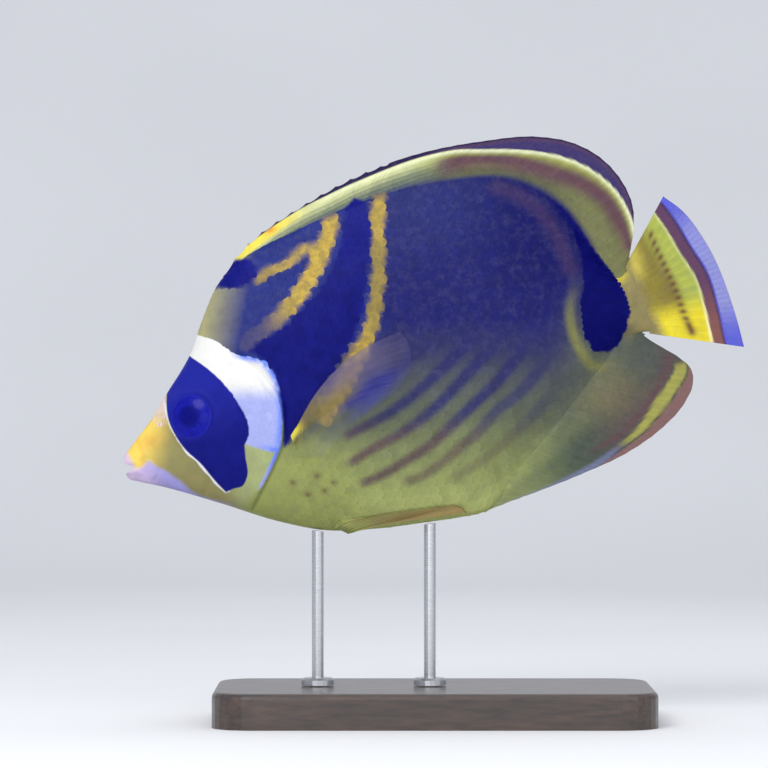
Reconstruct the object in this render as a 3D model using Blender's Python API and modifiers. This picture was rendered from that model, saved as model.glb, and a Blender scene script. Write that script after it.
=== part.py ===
"""Raccoon butterflyfish, life size, held nose-down over a plain display stand.

The fish is modelled in a frame of its own, in millimetres: x runs from the tip of the upper
lip to the tail, y is sideways with the left flank at -y, and z runs towards the back fin.
Every outline is a side view in that frame. An empty turns the fish nose-down and lifts it
over the base, so that the middle of the base's underside is the world's origin.
"""

import math

import bmesh
import bpy
import numpy as np
from mathutils import Matrix, Vector

MM = 0.001
GAP = 0.3

# Pose over the stand
PITCH = math.radians(17)
SNOUT_HEIGHT = 67.0

# Side outlines of the body without its fins, from the lips to the root of the tail fin
BACK_LINE = [(-0.1, -0.8), (0.3, 0.7), (2.2, 2.2), (9.2, 7.4), (15.4, 12.9), (23.9, 20.6), (30, 28.8),
             (36.6, 36.2), (43.3, 39.8), (60, 43.4), (80, 45.6), (98, 44.6), (113, 40.4), (123, 31.5), (128.8, 20),
             (131.9, 11.3), (134, 7.6), (138.6, 9.6)]
BELLY_LINE = [(-0.7, -4.0), (-0.2, -5.4), (2.2, -7.0), (6.7, -9.5), (20.2, -18.2), (33.3, -27.1),
              (44, -32.7), (56, -36.0), (70, -38.4), (78, -39.6), (84, -40), (93, -34.8), (108, -25),
              (124, -13.8), (134, -7.9), (139.6, -8.6)]

# Half the body's width at these distances from the snout
WIDTH_AT = [-1, 1, 3, 8, 14, 21, 30, 42, 56, 72, 88, 104, 118, 128, 134, 139.5]
HALF_WIDTH = [0.9, 2.1, 2.9, 4.2, 5.7, 7.9, 10.3, 12.2, 12.6, 12.0, 10.5, 8.4, 6.2, 4.3, 3.1, 1.5]
WIDEST = -0.12  # the height where a section is widest, from -1 at the belly to 1 at the back
ROUND_HEAD = 0.57  # how full a section of the head is, and of the trunk: 0.5 is an ellipse
ROUND_TRUNK = 0.84
HEAD_EDGE = 0.6  # half the thickness left at the top and bottom edges
TRUNK_EDGE = 1.0

# Rear edge of the gill cover, carried up to the nape and down to the throat
GILL_LINE = [(26.6, 32.5), (29.4, 26.5), (33.5, 20), (38.5, 13), (41.8, 7.4), (42.9, 1.5), (41.9, -3.6),
             (39.6, -8.6), (35.6, -13.4), (31.2, -18), (27.8, -21.6), (25.4, -25.5)]
GILL_FLARE = 0.8  # how far the cover's rear edge stands out from the trunk
GILL_FLARE_LENGTH = 9.0
CHEEK_GROOVE = 12.5  # the cheek plate ends this far ahead of the gill cover's edge
STALK_START = 130.6

# Shares of the length that the pieces' own lofts span, before they are parted
HEAD_LOFT = (0.0, 0.40)
JAW_SECTIONS = 14
TRUNK_LOFT = (0.12, 0.97)
STALK_LOFT = (0.92, 1.0)

# Head details
EYE = (19.9, 5.2)
EYE_SEEN = 5.8  # radius of the eye that shows
EYE_RADIUS = 6.9
EYE_DEPTH = 3.3
EYE_SIDE = 5.65
ORBIT_RIM = 0.45
CHEEK_GROOVE_DEPTH = 0.4
LIP_SWELL = 0.45
MOUTH_LINE = [(-3, -2.5), (0.5, -2.6), (2.6, -2.9), (5.6, -4.9), (8.6, -8.4), (10.4, -14.5)]
MOUTH_CORNER = 2.7
MOUTH_OPENING = 1.0
NOSTRILS = [(11.6, 5.8), (13.1, 7.3)]
NOSTRIL_RADIUS = 0.6
PECTORAL_PAD = (44.2, -9.8)
PAD_SWELL, PAD_LENGTH, PAD_HEIGHT = 0.9, 2.4, 4.2

# Back fin and anal fin: where they start and end on the body, and their outer margins
BACK_FIN_FROM, BACK_FIN_TO = 40.5, 136.0
BACK_FIN_MARGIN = [(43.4, 42.3), (49.4, 44.6), (61.8, 48.4), (78.9, 51.8), (95, 52.5), (110.6, 50.9),
                   (125.6, 47.6), (132.6, 44.1), (138.6, 38.4), (142.4, 30.6), (143.2, 24), (141.6, 17.8),
                   (138.6, 11.8)]
BACK_FIN_SPINES, BACK_FIN_RAYS = 12, 24
BACK_FIN_SWEEP = 0.06  # how far the tips lie behind their roots, as a share of the margin
ANAL_FIN_FROM, ANAL_FIN_TO = 84.6, 134.0
ANAL_FIN_MARGIN = [(88.4, -39.7), (96, -39.1), (110.2, -38.0), (124, -36), (134, -32.6), (141, -28.4),
                   (144.8, -23.8), (145.3, -20.6), (143.4, -17), (140.2, -13.4), (137.6, -10.6)]
ANAL_FIN_SPINES, ANAL_FIN_RAYS = 3, 18
ANAL_FIN_SWEEP = 0.03
BACK_NOTCH, ANAL_NOTCH = 0.7, 0.3  # the membrane dips this far between the tips of two spines

# Tail fin: root line and margin, upper end first
TAIL_ROOT = [(138.6, 9.6), (139.6, -8.6)]
TAIL_MARGIN = [(151.3, 23.8), (154.8, 19), (157.8, 11.2), (159.4, 3.6), (160, -4.4), (160.1, -12.4),
               (159.8, -19)]
TAIL_RAYS = 17

# Paired fins, upper end first for the breast fin and lower end first for the belly fin
PECTORAL_ROOT = [(43.8, -7.0), (43.4, -12.6)]
PECTORAL_MARGIN = [(76.9, 10.2), (78, 6.6), (76.5, 0.6), (72.4, -3.2), (66.5, -5.8), (59, -8.8), (49.4, -14)]
PECTORAL_RAYS = 15
PECTORAL_BOW = 4.5
PECTORAL_SPREAD = math.radians(12)
PECTORAL_THICKNESS = 1.3
PELVIC_ROOT = [(49.6, -33.7), (47.2, -31.4)]
PELVIC_MARGIN = [(79.8, -38.6), (78.8, -36.9), (74, -35.3), (67.5, -34.1), (60.5, -33)]
PELVIC_RAYS = 6
PELVIC_SPREAD = math.radians(3)
PELVIC_THICKNESS = 1.2
STEEPEST = 2.0  # slope of the skin that a fin's root still allows for

# Thickness of the fins
FIN_EDGE = 0.5
FIN_CLEAR = GAP + 0.1  # room between the skin and the near face of a paired fin
FIN_ROOT = 2 * TRUNK_EDGE - 0.3
RAY_RIDGE = 0.22
SPINE_RIDGE = 0.5
RAY_FOOT = 0.24  # a ridge's foot, as a share of the distance between rays

# Stand
BASE_LENGTH, BASE_WIDTH, BASE_HEIGHT = 112.0, 60.0, 9.0
BASE_CORNER = 10.0
BASE_BEVEL = 1.4
ROD_RADIUS = 1.5
ROD_PLACES = {"stand_rod_front": -29.7, "stand_rod_rear": -1.1}
ROD_TOP = 62.0  # above the base, before the rod is cut to the belly
FOOT_RADIUS, FOOT_HEIGHT, FOOT_BEVEL = 4.2, 1.8, 0.5

# Colour, roughness and metallic value of each kind of piece
SKIN = ((0.30, 0.33, 0.16), 0.42, 0.0)
SNOUT = ((0.66, 0.52, 0.16), 0.42, 0.0)
STALK = ((0.42, 0.38, 0.15), 0.42, 0.0)
EYEBALL = ((0.02, 0.03, 0.14), 0.08, 0.0)
SPINY = ((0.55, 0.50, 0.20), 0.5, 0.0)
SOFT = ((0.40, 0.28, 0.16), 0.5, 0.0)
ANAL = ((0.16, 0.17, 0.12), 0.5, 0.0)
TAIL = ((0.62, 0.52, 0.09), 0.5, 0.0)
CLEAR = ((0.16, 0.18, 0.34), 0.35, 0.0)
BELLY_FIN = ((0.32, 0.26, 0.12), 0.5, 0.0)
WOOD = ((0.055, 0.040, 0.030), 0.4, 0.0)
STEEL = ((0.62, 0.62, 0.63), 0.28, 1.0)


def ease(start, end, x):
    """0 before start, 1 after end, and a smooth step between the two."""
    t = np.clip((x - start) / (end - start), 0, 1)
    return t * t * (3 - 2 * t)


def bump(x, middle, spread):
    """A smooth hill of height 1."""
    return np.exp(-(((x - middle) / spread) ** 2))


def smooth(knots, values, at):
    """A smooth curve through the values, in cubic pieces that share their slopes."""
    knots, values = np.asarray(knots, float), np.asarray(values, float)
    at = np.clip(at, knots[0], knots[-1])
    slopes = np.gradient(values, knots, axis=0)
    i = np.clip(np.searchsorted(knots, at, side="right") - 1, 0, len(knots) - 2)
    step = knots[i + 1] - knots[i]
    t = (at - knots[i]) / step
    if values.ndim > 1:
        step, t = step[..., None], t[..., None]
    line = values[i] * (2 * t**3 - 3 * t**2 + 1) + values[i + 1] * (3 * t**2 - 2 * t**3)
    return line + step * (slopes[i] * (t**3 - 2 * t**2 + t) + slopes[i + 1] * (t**3 - t**2))


class Curve:
    """A smooth curve in side view through hand-set points, read by the share of its length."""

    def __init__(self, points):
        points = np.asarray(points, float)
        knots = np.concatenate([[0], np.cumsum(np.linalg.norm(np.diff(points, axis=0), axis=1))])
        self.points = smooth(knots, points, np.linspace(0, knots[-1], 600))
        steps = np.linalg.norm(np.diff(self.points, axis=0), axis=1)
        self.shares = np.concatenate([[0], np.cumsum(steps)]) / steps.sum()

    def at(self, share):
        """The place at this share of the length."""
        return np.stack([np.interp(share, self.shares, self.points[:, k]) for k in (0, 1)], axis=-1)

    def beside(self, share, distance):
        """The place at this share, moved to the left of the curve's run by a distance."""
        share = np.asarray(share, float)
        ahead = self.at(np.clip(share + 0.004, 0, 1)) - self.at(np.clip(share - 0.004, 0, 1))
        ahead = ahead / np.linalg.norm(ahead, axis=-1, keepdims=True)
        left = np.stack([-ahead[..., 1], ahead[..., 0]], axis=-1)
        return self.at(share) + left * np.asarray(distance)[..., None]

    def share_at(self, x):
        """The share where the curve, which runs from small to large x, reaches x."""
        return float(np.interp(x, self.points[:, 0], self.shares))

    def distance(self, x, z):
        """Distance from places to the curve, positive on the left of its run."""
        offset = np.stack([x, z], axis=-1)[..., None, :] - self.points[::5]
        nearest = np.argmin((offset**2).sum(-1), axis=-1)
        away = np.take_along_axis(offset, nearest[..., None, None], axis=-2)[..., 0, :]
        ahead = np.gradient(self.points[::5], axis=0)[nearest]
        side = ahead[..., 0] * away[..., 1] - ahead[..., 1] * away[..., 0]
        return np.hypot(away[..., 0], away[..., 1]) * np.sign(side)


BACK, BELLY = Curve(BACK_LINE), Curve(BELLY_LINE)
GILL, MOUTH = Curve(GILL_LINE), Curve(MOUTH_LINE)


def body_point(share, height, grown=0.0):
    """x, z and half thickness of the body, at a share of its length and a height from -1 to 1."""
    share, height = np.broadcast_arrays(np.asarray(share, float), np.asarray(height, float))
    low, high = BELLY.at(share), BACK.at(share)
    middle = (low[..., 0] + high[..., 0]) / 2
    width = smooth(WIDTH_AT, HALF_WIDTH, middle)
    trunk = ease(24, 46, middle)
    above = height > WIDEST
    from_widest = np.where(above, (height - WIDEST) / (1 - WIDEST), (WIDEST - height) / (1 + WIDEST))
    fullness = ROUND_HEAD + (ROUND_TRUNK - ROUND_HEAD) * trunk * np.where(above, 1, 0.7)
    edge = np.minimum(HEAD_EDGE + (TRUNK_EDGE - HEAD_EDGE) * trunk, width * 0.7)
    half = edge + (width - edge) * np.clip(1 - from_widest**2, 0, 1) ** fullness
    up = (high - low) / np.linalg.norm(high - low, axis=-1, keepdims=True)
    place = low + (high - low) * ((height + 1) / 2)[..., None] + up * grown * height[..., None]
    return place[..., 0], place[..., 1], half + grown


def half_at(x, z):
    """Half thickness of the body where a side view shows the place x, z."""
    low, high = 0.0, 1.0
    for _ in range(30):
        share = (low + high) / 2
        bottom, top = BELLY.at(share), BACK.at(share)
        behind = (top[0] - bottom[0]) * (z - bottom[1]) - (top[1] - bottom[1]) * (x - bottom[0]) < 0
        low, high = (share, high) if behind else (low, share)
    height = 2 * (z - bottom[1]) / (top[1] - bottom[1]) - 1
    return float(body_point(share, np.clip(height, -1, 1))[2])


def head_relief(x, z):
    """What the head's own forms add to the body's plain half thickness."""
    ahead = -GILL.distance(x, z)
    cover = GILL_FLARE * (1 - ease(0, GILL_FLARE_LENGTH, ahead)) * ease(20, 6, z)
    from_eye = np.hypot(x - EYE[0], z - EYE[1])
    orbit = ORBIT_RIM * bump(from_eye, EYE_SEEN + 0.9, 1.6)
    groove = CHEEK_GROOVE_DEPTH * bump(ahead, CHEEK_GROOVE, 1.3) * ease(5, -3, z) * ease(-21, -14, z)
    lips = LIP_SWELL * bump(np.abs(MOUTH.distance(x, z)), 1.2, 0.9) * ease(4.5, 2.5, x)
    return cover + orbit - groove + lips


def trunk_relief(x, z):
    """The fleshy pads that carry the breast fins."""
    along, up = (x - PECTORAL_PAD[0]) / PAD_LENGTH, (z - PECTORAL_PAD[1]) / PAD_HEIGHT
    return PAD_SWELL * bump(np.hypot(along, up), 0, 1)


def side_room(x, z, clear):
    """How far from the midplane a face lies that clears the trunk's skin by a distance."""
    def skin(i, k, step=0.4):
        return half_at(x + i * step, z + k * step) + trunk_relief(x + i * step, z + k * step)

    slope = math.hypot(skin(1, 0) - skin(-1, 0), skin(0, 1) - skin(0, -1)) / 0.8
    return float(skin(0, 0) + clear * math.hypot(1, min(slope, STEEPEST)))


def mesh_of(bm, name):
    """Turns the working mesh into a mesh in metres."""
    bmesh.ops.recalc_face_normals(bm, faces=bm.faces[:])
    bmesh.ops.scale(bm, vec=(MM, MM, MM), verts=bm.verts[:])
    mesh = bpy.data.meshes.new(name)
    bm.to_mesh(mesh)
    bm.free()
    return mesh


def body_mesh(name, shares, levels, relief=None, grown=0.0):
    """A closed length of the body: a loft through its sections at these shares."""
    heights = np.sin(np.linspace(-math.pi / 2, math.pi / 2, levels))
    bm = bmesh.new()
    rings = []
    for share in shares:
        x, z, half = body_point(share, heights, grown)
        if relief:
            half = half + relief(x, z) * (1 - heights**8)
        right = [bm.verts.new(place) for place in zip(x, half, z)]
        left = [bm.verts.new(place) for place in zip(x, -half, z)]
        rings.append(right + left[::-1])
    for front, rear in zip(rings, rings[1:]):
        for k in range(len(front)):
            n = (k + 1) % len(front)
            bm.faces.new((front[k], front[n], rear[n], rear[k]))
    bm.faces.new(rings[0])
    bm.faces.new(rings[-1])
    bmesh.ops.triangulate(bm, faces=bm.faces[:])
    return mesh_of(bm, name)


def ball_mesh(name, centre, radius, depth, around, rings):
    """A ball flattened across the fish, with its poles at the sides."""
    bm = bmesh.new()
    bmesh.ops.create_uvsphere(bm, u_segments=around, v_segments=rings, radius=1)
    turn = Matrix.Rotation(math.pi / 2, 4, "X")
    size = Matrix.Diagonal((radius, depth, radius, 1))
    bmesh.ops.transform(bm, matrix=Matrix.Translation(centre) @ size @ turn, verts=bm.verts[:])
    return mesh_of(bm, name)


def prism_mesh(name, outline, half_width=20.0):
    """A side-view outline drawn out across the fish."""
    bm = bmesh.new()
    face = bm.faces.new([bm.verts.new((x, -half_width, z)) for x, z in outline])
    extruded = bmesh.ops.extrude_face_region(bm, geom=[face])["geom"]
    moved = [v for v in extruded if isinstance(v, bmesh.types.BMVert)]
    bmesh.ops.translate(bm, verts=moved, vec=(0, 2 * half_width, 0))
    return mesh_of(bm, name)


class Workshop:
    """The two collections, and the empty that the fish hangs from."""

    def __init__(self):
        self.parts = bpy.data.collections.new("raccoon_butterflyfish")
        self.cutters = bpy.data.collections.new("cutters")
        for collection in (self.parts, self.cutters):
            bpy.context.scene.collection.children.link(collection)
        self.fish = bpy.data.objects.new("fish_pose", None)
        self.parts.objects.link(self.fish)
        ends = [x * math.cos(PITCH) - z * math.sin(PITCH) for x, z in (BACK_LINE[0], TAIL_MARGIN[-1])]
        self.fish.location = (-sum(ends) / 2 * MM, 0, SNOUT_HEIGHT * MM)
        self.fish.rotation_euler = (0, -PITCH, 0)

    def piece(self, name, mesh, look, on_fish=True):
        """A piece with its own material."""
        colour, roughness, metallic = look
        material = bpy.data.materials.new(name)
        material.use_nodes = True
        shader = material.node_tree.nodes["Principled BSDF"]
        shader.inputs["Base Color"].default_value = (*colour, 1)
        shader.inputs["Roughness"].default_value = roughness
        shader.inputs["Metallic"].default_value = metallic
        mesh.materials.append(material)
        mesh.shade_smooth()
        mesh.set_sharp_from_angle(angle=math.radians(40))
        obj = bpy.data.objects.new(name, mesh)
        obj.parent = self.fish if on_fish else None
        self.parts.objects.link(obj)
        return obj

    def cut(self, mesh, *pieces, keep=False):
        """Takes the mesh's volume, given in the fish's frame, out of each piece, or keeps only that."""
        cutter = bpy.data.objects.new(mesh.name, mesh)
        cutter.parent = self.fish
        cutter.hide_render = True
        cutter.display_type = "WIRE"
        self.cutters.objects.link(cutter)
        for piece in pieces:
            boolean = piece.modifiers.new(mesh.name, "BOOLEAN")
            boolean.operation = "INTERSECT" if keep else "DIFFERENCE"
            boolean.solver = "EXACT"
            boolean.object = cutter


def past_gill(distance, far):
    """Everything on one side of the gill cover's edge, out to the distance far along the fish."""
    edge = GILL.beside(np.linspace(0, 1, 26), distance)
    (top_x, top_z), (low_x, low_z) = edge[0], edge[-1]
    return [(far, top_z + 30), (top_x, top_z + 30), *edge, (low_x, low_z - 30), (far, low_z - 30)]


def jaw_region(side):
    """The lower jaw in side view, drawn in for side -1 and out for side 1 to leave the mouth open."""
    shares = np.linspace(0, 1, 22)
    opening = GAP / 2 + MOUTH_OPENING * ease(MOUTH_CORNER, -0.5, MOUTH.at(shares)[:, 0])
    edge = MOUTH.beside(shares, side * opening)
    return [*edge, (edge[-1][0], -40), (edge[0][0], -40)]


def make_body(shop):
    """Head, lower jaw, trunk and tail stalk: one form, parted by thin cuts."""
    lips = [HEAD_LOFT[0], 0.004, 0.01, 0.018]
    front = np.concatenate([lips, np.linspace(0.03, HEAD_LOFT[1], 22)])
    head = shop.piece("head", body_mesh("head", front, 24, head_relief), SKIN)
    jaw = shop.piece("lower_jaw", body_mesh("lower_jaw", front[:JAW_SECTIONS], 16, head_relief), SNOUT)
    trunk = shop.piece("trunk", body_mesh("trunk", np.linspace(*TRUNK_LOFT, 30), 22, trunk_relief), SKIN)
    stalk = shop.piece("tail_stalk", body_mesh("tail_stalk", np.linspace(*STALK_LOFT, 7), 14), STALK)
    shop.cut(prism_mesh("behind_gill", past_gill(-GAP / 2, 170)), head)
    shop.cut(prism_mesh("ahead_of_gill", past_gill(GAP / 2, -20)), trunk)
    shop.cut(prism_mesh("mouth_and_jaw", jaw_region(1)), head)
    shop.cut(prism_mesh("jaw_region", jaw_region(-1)), jaw, keep=True)
    shop.cut(prism_mesh("behind_trunk", across(STALK_START, 170)), trunk)
    shop.cut(prism_mesh("ahead_of_stalk", across(STALK_START + GAP, 60)), stalk)
    return head


def across(near, far):
    """A side-view band between two distances from the snout, as high as the fish."""
    return [(near, -60), (far, -60), (far, 60), (near, 60)]


def make_eyes(shop, head):
    """The eyes in their sockets, and the two nostrils on each side."""
    for name, side in (("eye_left", -1), ("eye_right", 1)):
        centre = (EYE[0], side * EYE_SIDE, EYE[1])
        shop.piece(name, ball_mesh(name, centre, EYE_RADIUS, EYE_DEPTH, 28, 14), EYEBALL)
        socket = ball_mesh(name + "_socket", centre, EYE_RADIUS + GAP, EYE_DEPTH + GAP, 28, 14)
        shop.cut(socket, head)
        for number, (x, z) in enumerate(NOSTRILS):
            place = (x, side * (half_at(x, z) + 0.1), z)
            name_of = f"nostril_{number}_{side + 1}"
            shop.cut(ball_mesh(name_of, place, NOSTRIL_RADIUS, NOSTRIL_RADIUS, 8, 6), head)


def ray_columns(first, last):
    """Where a fin's grid has columns: on each ray and at the feet of its ridge."""
    marks = [ray + foot for ray in range(math.floor(first), math.ceil(last) + 1)
             for foot in (-RAY_FOOT, 0, RAY_FOOT)]
    return [first] + [mark for mark in marks if first + 0.1 < mark < last - 0.1] + [last]


def on_ray(column):
    """Whether a column of the grid runs along a ray."""
    return abs(column - round(column)) < 0.06


def make_fin(shop, name, columns, rows, place, thickness, look):
    """A fin as one closed body: a sheet drawn out sideways, split into triangles alike on both faces.

    place(u, v) is a point of the middle sheet, with u counted in rays and v from root to tip.
    """
    bm = bmesh.new()
    last_column, last_row = len(columns) - 1, len(rows) - 1
    bmesh.ops.create_grid(bm, x_segments=last_column, y_segments=last_row, size=0.5)
    thick = bm.verts.layers.float.new("thickness")
    for vert in bm.verts:
        u, v = columns[round((vert.co.x + 0.5) * last_column)], rows[round((vert.co.y + 0.5) * last_row)]
        vert[thick] = thickness(u, v)
        vert.co = Vector(place(u, v)) - Vector((0, vert[thick] / 2, 0))
    bmesh.ops.triangulate(bm, faces=bm.faces[:])
    drawn = bmesh.ops.extrude_face_region(bm, geom=bm.faces[:])["geom"]
    for vert in [part for part in drawn if isinstance(part, bmesh.types.BMVert)]:
        vert.co.y += vert[thick]
    shop.piece(name, mesh_of(bm, name), look)


def fin_thickness(root, ridge):
    """Thickness of a fin that thins out from its root, with ridges along its rays."""
    def thickness(u, v):
        return FIN_EDGE + (root - ridge - FIN_EDGE) * (1 - v) ** 1.5 + ridge * on_ray(u) * (1 - 0.4 * v)
    return thickness


def make_midline_fin(shop, name, edge, side, span, margin, sweep, notch, total, spines, first, last, look):
    """One length of the back or anal fin, from ray number first to last. The first few are spines."""
    start, end = edge.share_at(span[0]), edge.share_at(span[1])
    margin = Curve(margin)

    def place(u, v):
        share = u / total
        root = edge.beside(start + (end - start) * share, side * GAP)
        tip = margin.at(share + sweep * math.sin(math.pi * min(share, 1)) ** 0.6)
        reach = np.linalg.norm(tip - root)
        if u < spines and not on_ray(u):
            tip = root + (tip - root) * (1 - min(0.2, notch / reach))
        x, z = root + (tip - root) * v
        return x, 0, z

    def thickness(u, v):
        return fin_thickness(FIN_ROOT, SPINE_RIDGE if u < spines - 0.5 else RAY_RIDGE)(u, v)

    make_fin(shop, name, ray_columns(first, last), np.linspace(0, 1, 5), place, thickness, look)


def make_midline_fins(shop):
    """The back fin in its spiny and soft lengths, and the anal fin."""
    total = BACK_FIN_SPINES + BACK_FIN_RAYS - 1
    span = (BACK_FIN_FROM, BACK_FIN_TO)
    shared = (BACK, 1, span, BACK_FIN_MARGIN, BACK_FIN_SWEEP, BACK_NOTCH, total, BACK_FIN_SPINES)
    make_midline_fin(shop, "dorsal_fin_spiny", *shared, 0, BACK_FIN_SPINES - 0.1, SPINY)
    make_midline_fin(shop, "dorsal_fin_soft", *shared, BACK_FIN_SPINES, total, SOFT)
    total = ANAL_FIN_SPINES + ANAL_FIN_RAYS - 1
    span = (ANAL_FIN_FROM, ANAL_FIN_TO)
    make_midline_fin(shop, "anal_fin", BELLY, -1, span, ANAL_FIN_MARGIN, ANAL_FIN_SWEEP, ANAL_NOTCH, total,
                     ANAL_FIN_SPINES, 0, total, ANAL)


def make_tail_fin(shop):
    """The tail fin, a fan of rays from the end of the stalk."""
    root, margin = Curve(TAIL_ROOT), Curve(TAIL_MARGIN)
    last = TAIL_RAYS - 1

    def place(u, v):
        start = root.beside(u / last, GAP)
        x, z = start + (margin.at(u / last) - start) * v
        return x, 0, z

    make_fin(shop, "tail_fin", ray_columns(0, last), np.linspace(0, 1, 6), place,
             fin_thickness(FIN_ROOT, RAY_RIDGE), TAIL)


def make_paired_fin(shop, name, side, root, margin, rays, bow, spread, root_thickness, look):
    """A breast or belly fin: flat on the flank at its root, then standing off it."""
    root, margin = Curve(root), Curve(margin)
    last = rays - 1
    thickness = fin_thickness(root_thickness, RAY_RIDGE)

    def place(u, v):
        start, tip = root.at(u / last), margin.at(u / last)
        run = tip - start
        lift = np.array([-run[1], run[0]]) / np.linalg.norm(run) * bow * (1 - u / last)
        x, z = start + run * v + lift * 4 * v * (1 - v)
        stand_off = side_room(*start, FIN_CLEAR) + math.tan(spread) * np.linalg.norm(run) * v
        face = max(stand_off, side_room(x, z, FIN_CLEAR))
        return x, side * (face + thickness(u, v) / 2), z

    rows = np.array([0, 0.12, 0.3, 0.6, 1])
    make_fin(shop, name, ray_columns(0, last), rows, place, thickness, look)


def make_paired_fins(shop):
    """Breast and belly fins of both sides."""
    for word, side in (("left", -1), ("right", 1)):
        make_paired_fin(shop, f"pectoral_fin_{word}", side, PECTORAL_ROOT, PECTORAL_MARGIN, PECTORAL_RAYS,
                        PECTORAL_BOW, PECTORAL_SPREAD, PECTORAL_THICKNESS, CLEAR)
        make_paired_fin(shop, f"pelvic_fin_{word}", side, PELVIC_ROOT, PELVIC_MARGIN, PELVIC_RAYS,
                        0, PELVIC_SPREAD, PELVIC_THICKNESS, BELLY_FIN)


def make_base(shop):
    """The flat base, with round corners and a softened upper edge."""
    bm = bmesh.new()
    bmesh.ops.create_cube(bm, size=1)
    bmesh.ops.transform(bm, matrix=Matrix.Translation((0, 0, BASE_HEIGHT / 2))
                        @ Matrix.Diagonal((BASE_LENGTH, BASE_WIDTH, BASE_HEIGHT, 1)), verts=bm.verts[:])
    upright = [e for e in bm.edges if abs(e.verts[0].co.z - e.verts[1].co.z) > 1]
    bmesh.ops.bevel(bm, geom=upright, offset=BASE_CORNER, segments=7, profile=0.5, affect="EDGES")
    top = [e for e in bm.edges if min(v.co.z for v in e.verts) > BASE_HEIGHT - 0.01]
    bmesh.ops.bevel(bm, geom=top, offset=BASE_BEVEL, segments=3, profile=0.5, affect="EDGES")
    shop.piece("stand_base", mesh_of(bm, "stand_base"), WOOD, on_fish=False)


def make_rods(shop):
    """Two upright rods, turned with a small foot, and cut to the line of the belly."""
    profile = [(0, ROD_TOP), (ROD_RADIUS, ROD_TOP), (ROD_RADIUS, FOOT_HEIGHT),
               (FOOT_RADIUS - FOOT_BEVEL, FOOT_HEIGHT), (FOOT_RADIUS, FOOT_HEIGHT - FOOT_BEVEL),
               (FOOT_RADIUS, 0), (0, 0)]
    rods = []
    for name, x in ROD_PLACES.items():
        bm = bmesh.new()
        verts = [bm.verts.new((radius * MM, 0, z * MM)) for radius, z in profile]
        for pair in zip(verts, verts[1:]):
            bm.edges.new(pair)
        mesh = bpy.data.meshes.new(name)
        bm.to_mesh(mesh)
        bm.free()
        rod = shop.piece(name, mesh, STEEL, on_fish=False)
        rod.location = (x * MM, 0, (BASE_HEIGHT + GAP) * MM)
        turned = rod.modifiers.new("turned", "SCREW")
        turned.steps = 20
        turned.render_steps = 20
        turned.use_merge_vertices = True
        turned.merge_threshold = 0.00001
        rods.append(rod)
    shares = np.linspace(0, 1, 60)
    shop.cut(body_mesh("belly_room", shares, 22, grown=GAP), *rods)


def main():
    for obj in list(bpy.data.objects):
        bpy.data.objects.remove(obj)
    shop = Workshop()
    head = make_body(shop)
    make_eyes(shop, head)
    make_midline_fins(shop)
    make_tail_fin(shop)
    make_paired_fins(shop)
    make_base(shop)
    make_rods(shop)


main()
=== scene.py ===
"""Looks of the raccoon butterflyfish model: scaled skin, fine fins, glassy eyes, stand and studio.

The fish is worked out in its own frame in millimetres, as its solids are: x runs from the upper lip
to the tail, y is sideways with the left flank at -y, and z runs towards the back fin. Every outline
and marking is a side view in that frame. The fish is then turned nose-down and lifted over the base.
"""

import math

import bpy
import numpy as np
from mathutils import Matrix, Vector

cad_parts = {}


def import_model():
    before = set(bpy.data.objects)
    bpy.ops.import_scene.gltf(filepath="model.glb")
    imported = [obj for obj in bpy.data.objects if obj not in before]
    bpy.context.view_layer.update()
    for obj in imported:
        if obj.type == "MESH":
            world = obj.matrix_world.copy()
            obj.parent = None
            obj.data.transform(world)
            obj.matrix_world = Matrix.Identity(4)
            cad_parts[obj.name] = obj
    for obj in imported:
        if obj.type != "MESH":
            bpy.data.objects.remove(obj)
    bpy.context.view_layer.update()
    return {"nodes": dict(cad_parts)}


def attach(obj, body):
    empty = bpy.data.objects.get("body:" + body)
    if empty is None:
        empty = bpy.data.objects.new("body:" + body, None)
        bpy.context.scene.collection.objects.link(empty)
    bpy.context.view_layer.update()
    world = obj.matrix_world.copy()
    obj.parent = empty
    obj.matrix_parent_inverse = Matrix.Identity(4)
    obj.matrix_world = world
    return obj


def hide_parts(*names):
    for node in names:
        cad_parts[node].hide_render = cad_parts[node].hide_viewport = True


MM = 0.001
PITCH = math.radians(17)
SNOUT_HEIGHT = 67.0
RANDOM = np.random.default_rng(7)
SIDES = (("left", -1), ("right", 1))

# Side outlines of the body without its fins, from the lips to the root of the tail fin
BACK_LINE = [
    (-0.1, -0.8), (0.3, 0.7), (2.2, 2.2), (9.2, 7.4), (15.4, 12.9), (23.9, 20.6), (30, 28.8),
    (36.6, 36.2), (43.3, 39.8), (60, 43.4), (80, 45.6), (98, 44.6), (113, 40.4), (123, 31.5),
    (128.8, 20), (131.9, 11.3), (134, 7.6), (138.6, 9.6),
]
BELLY_LINE = [
    (-0.7, -4.0), (-0.2, -5.4), (2.2, -7.0), (6.7, -9.5), (20.2, -18.2), (33.3, -27.1), (44, -32.7),
    (56, -36.0), (70, -38.4), (78, -39.6), (84, -40), (93, -34.8), (108, -25), (124, -13.8),
    (134, -7.9), (139.6, -8.6),
]

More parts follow.
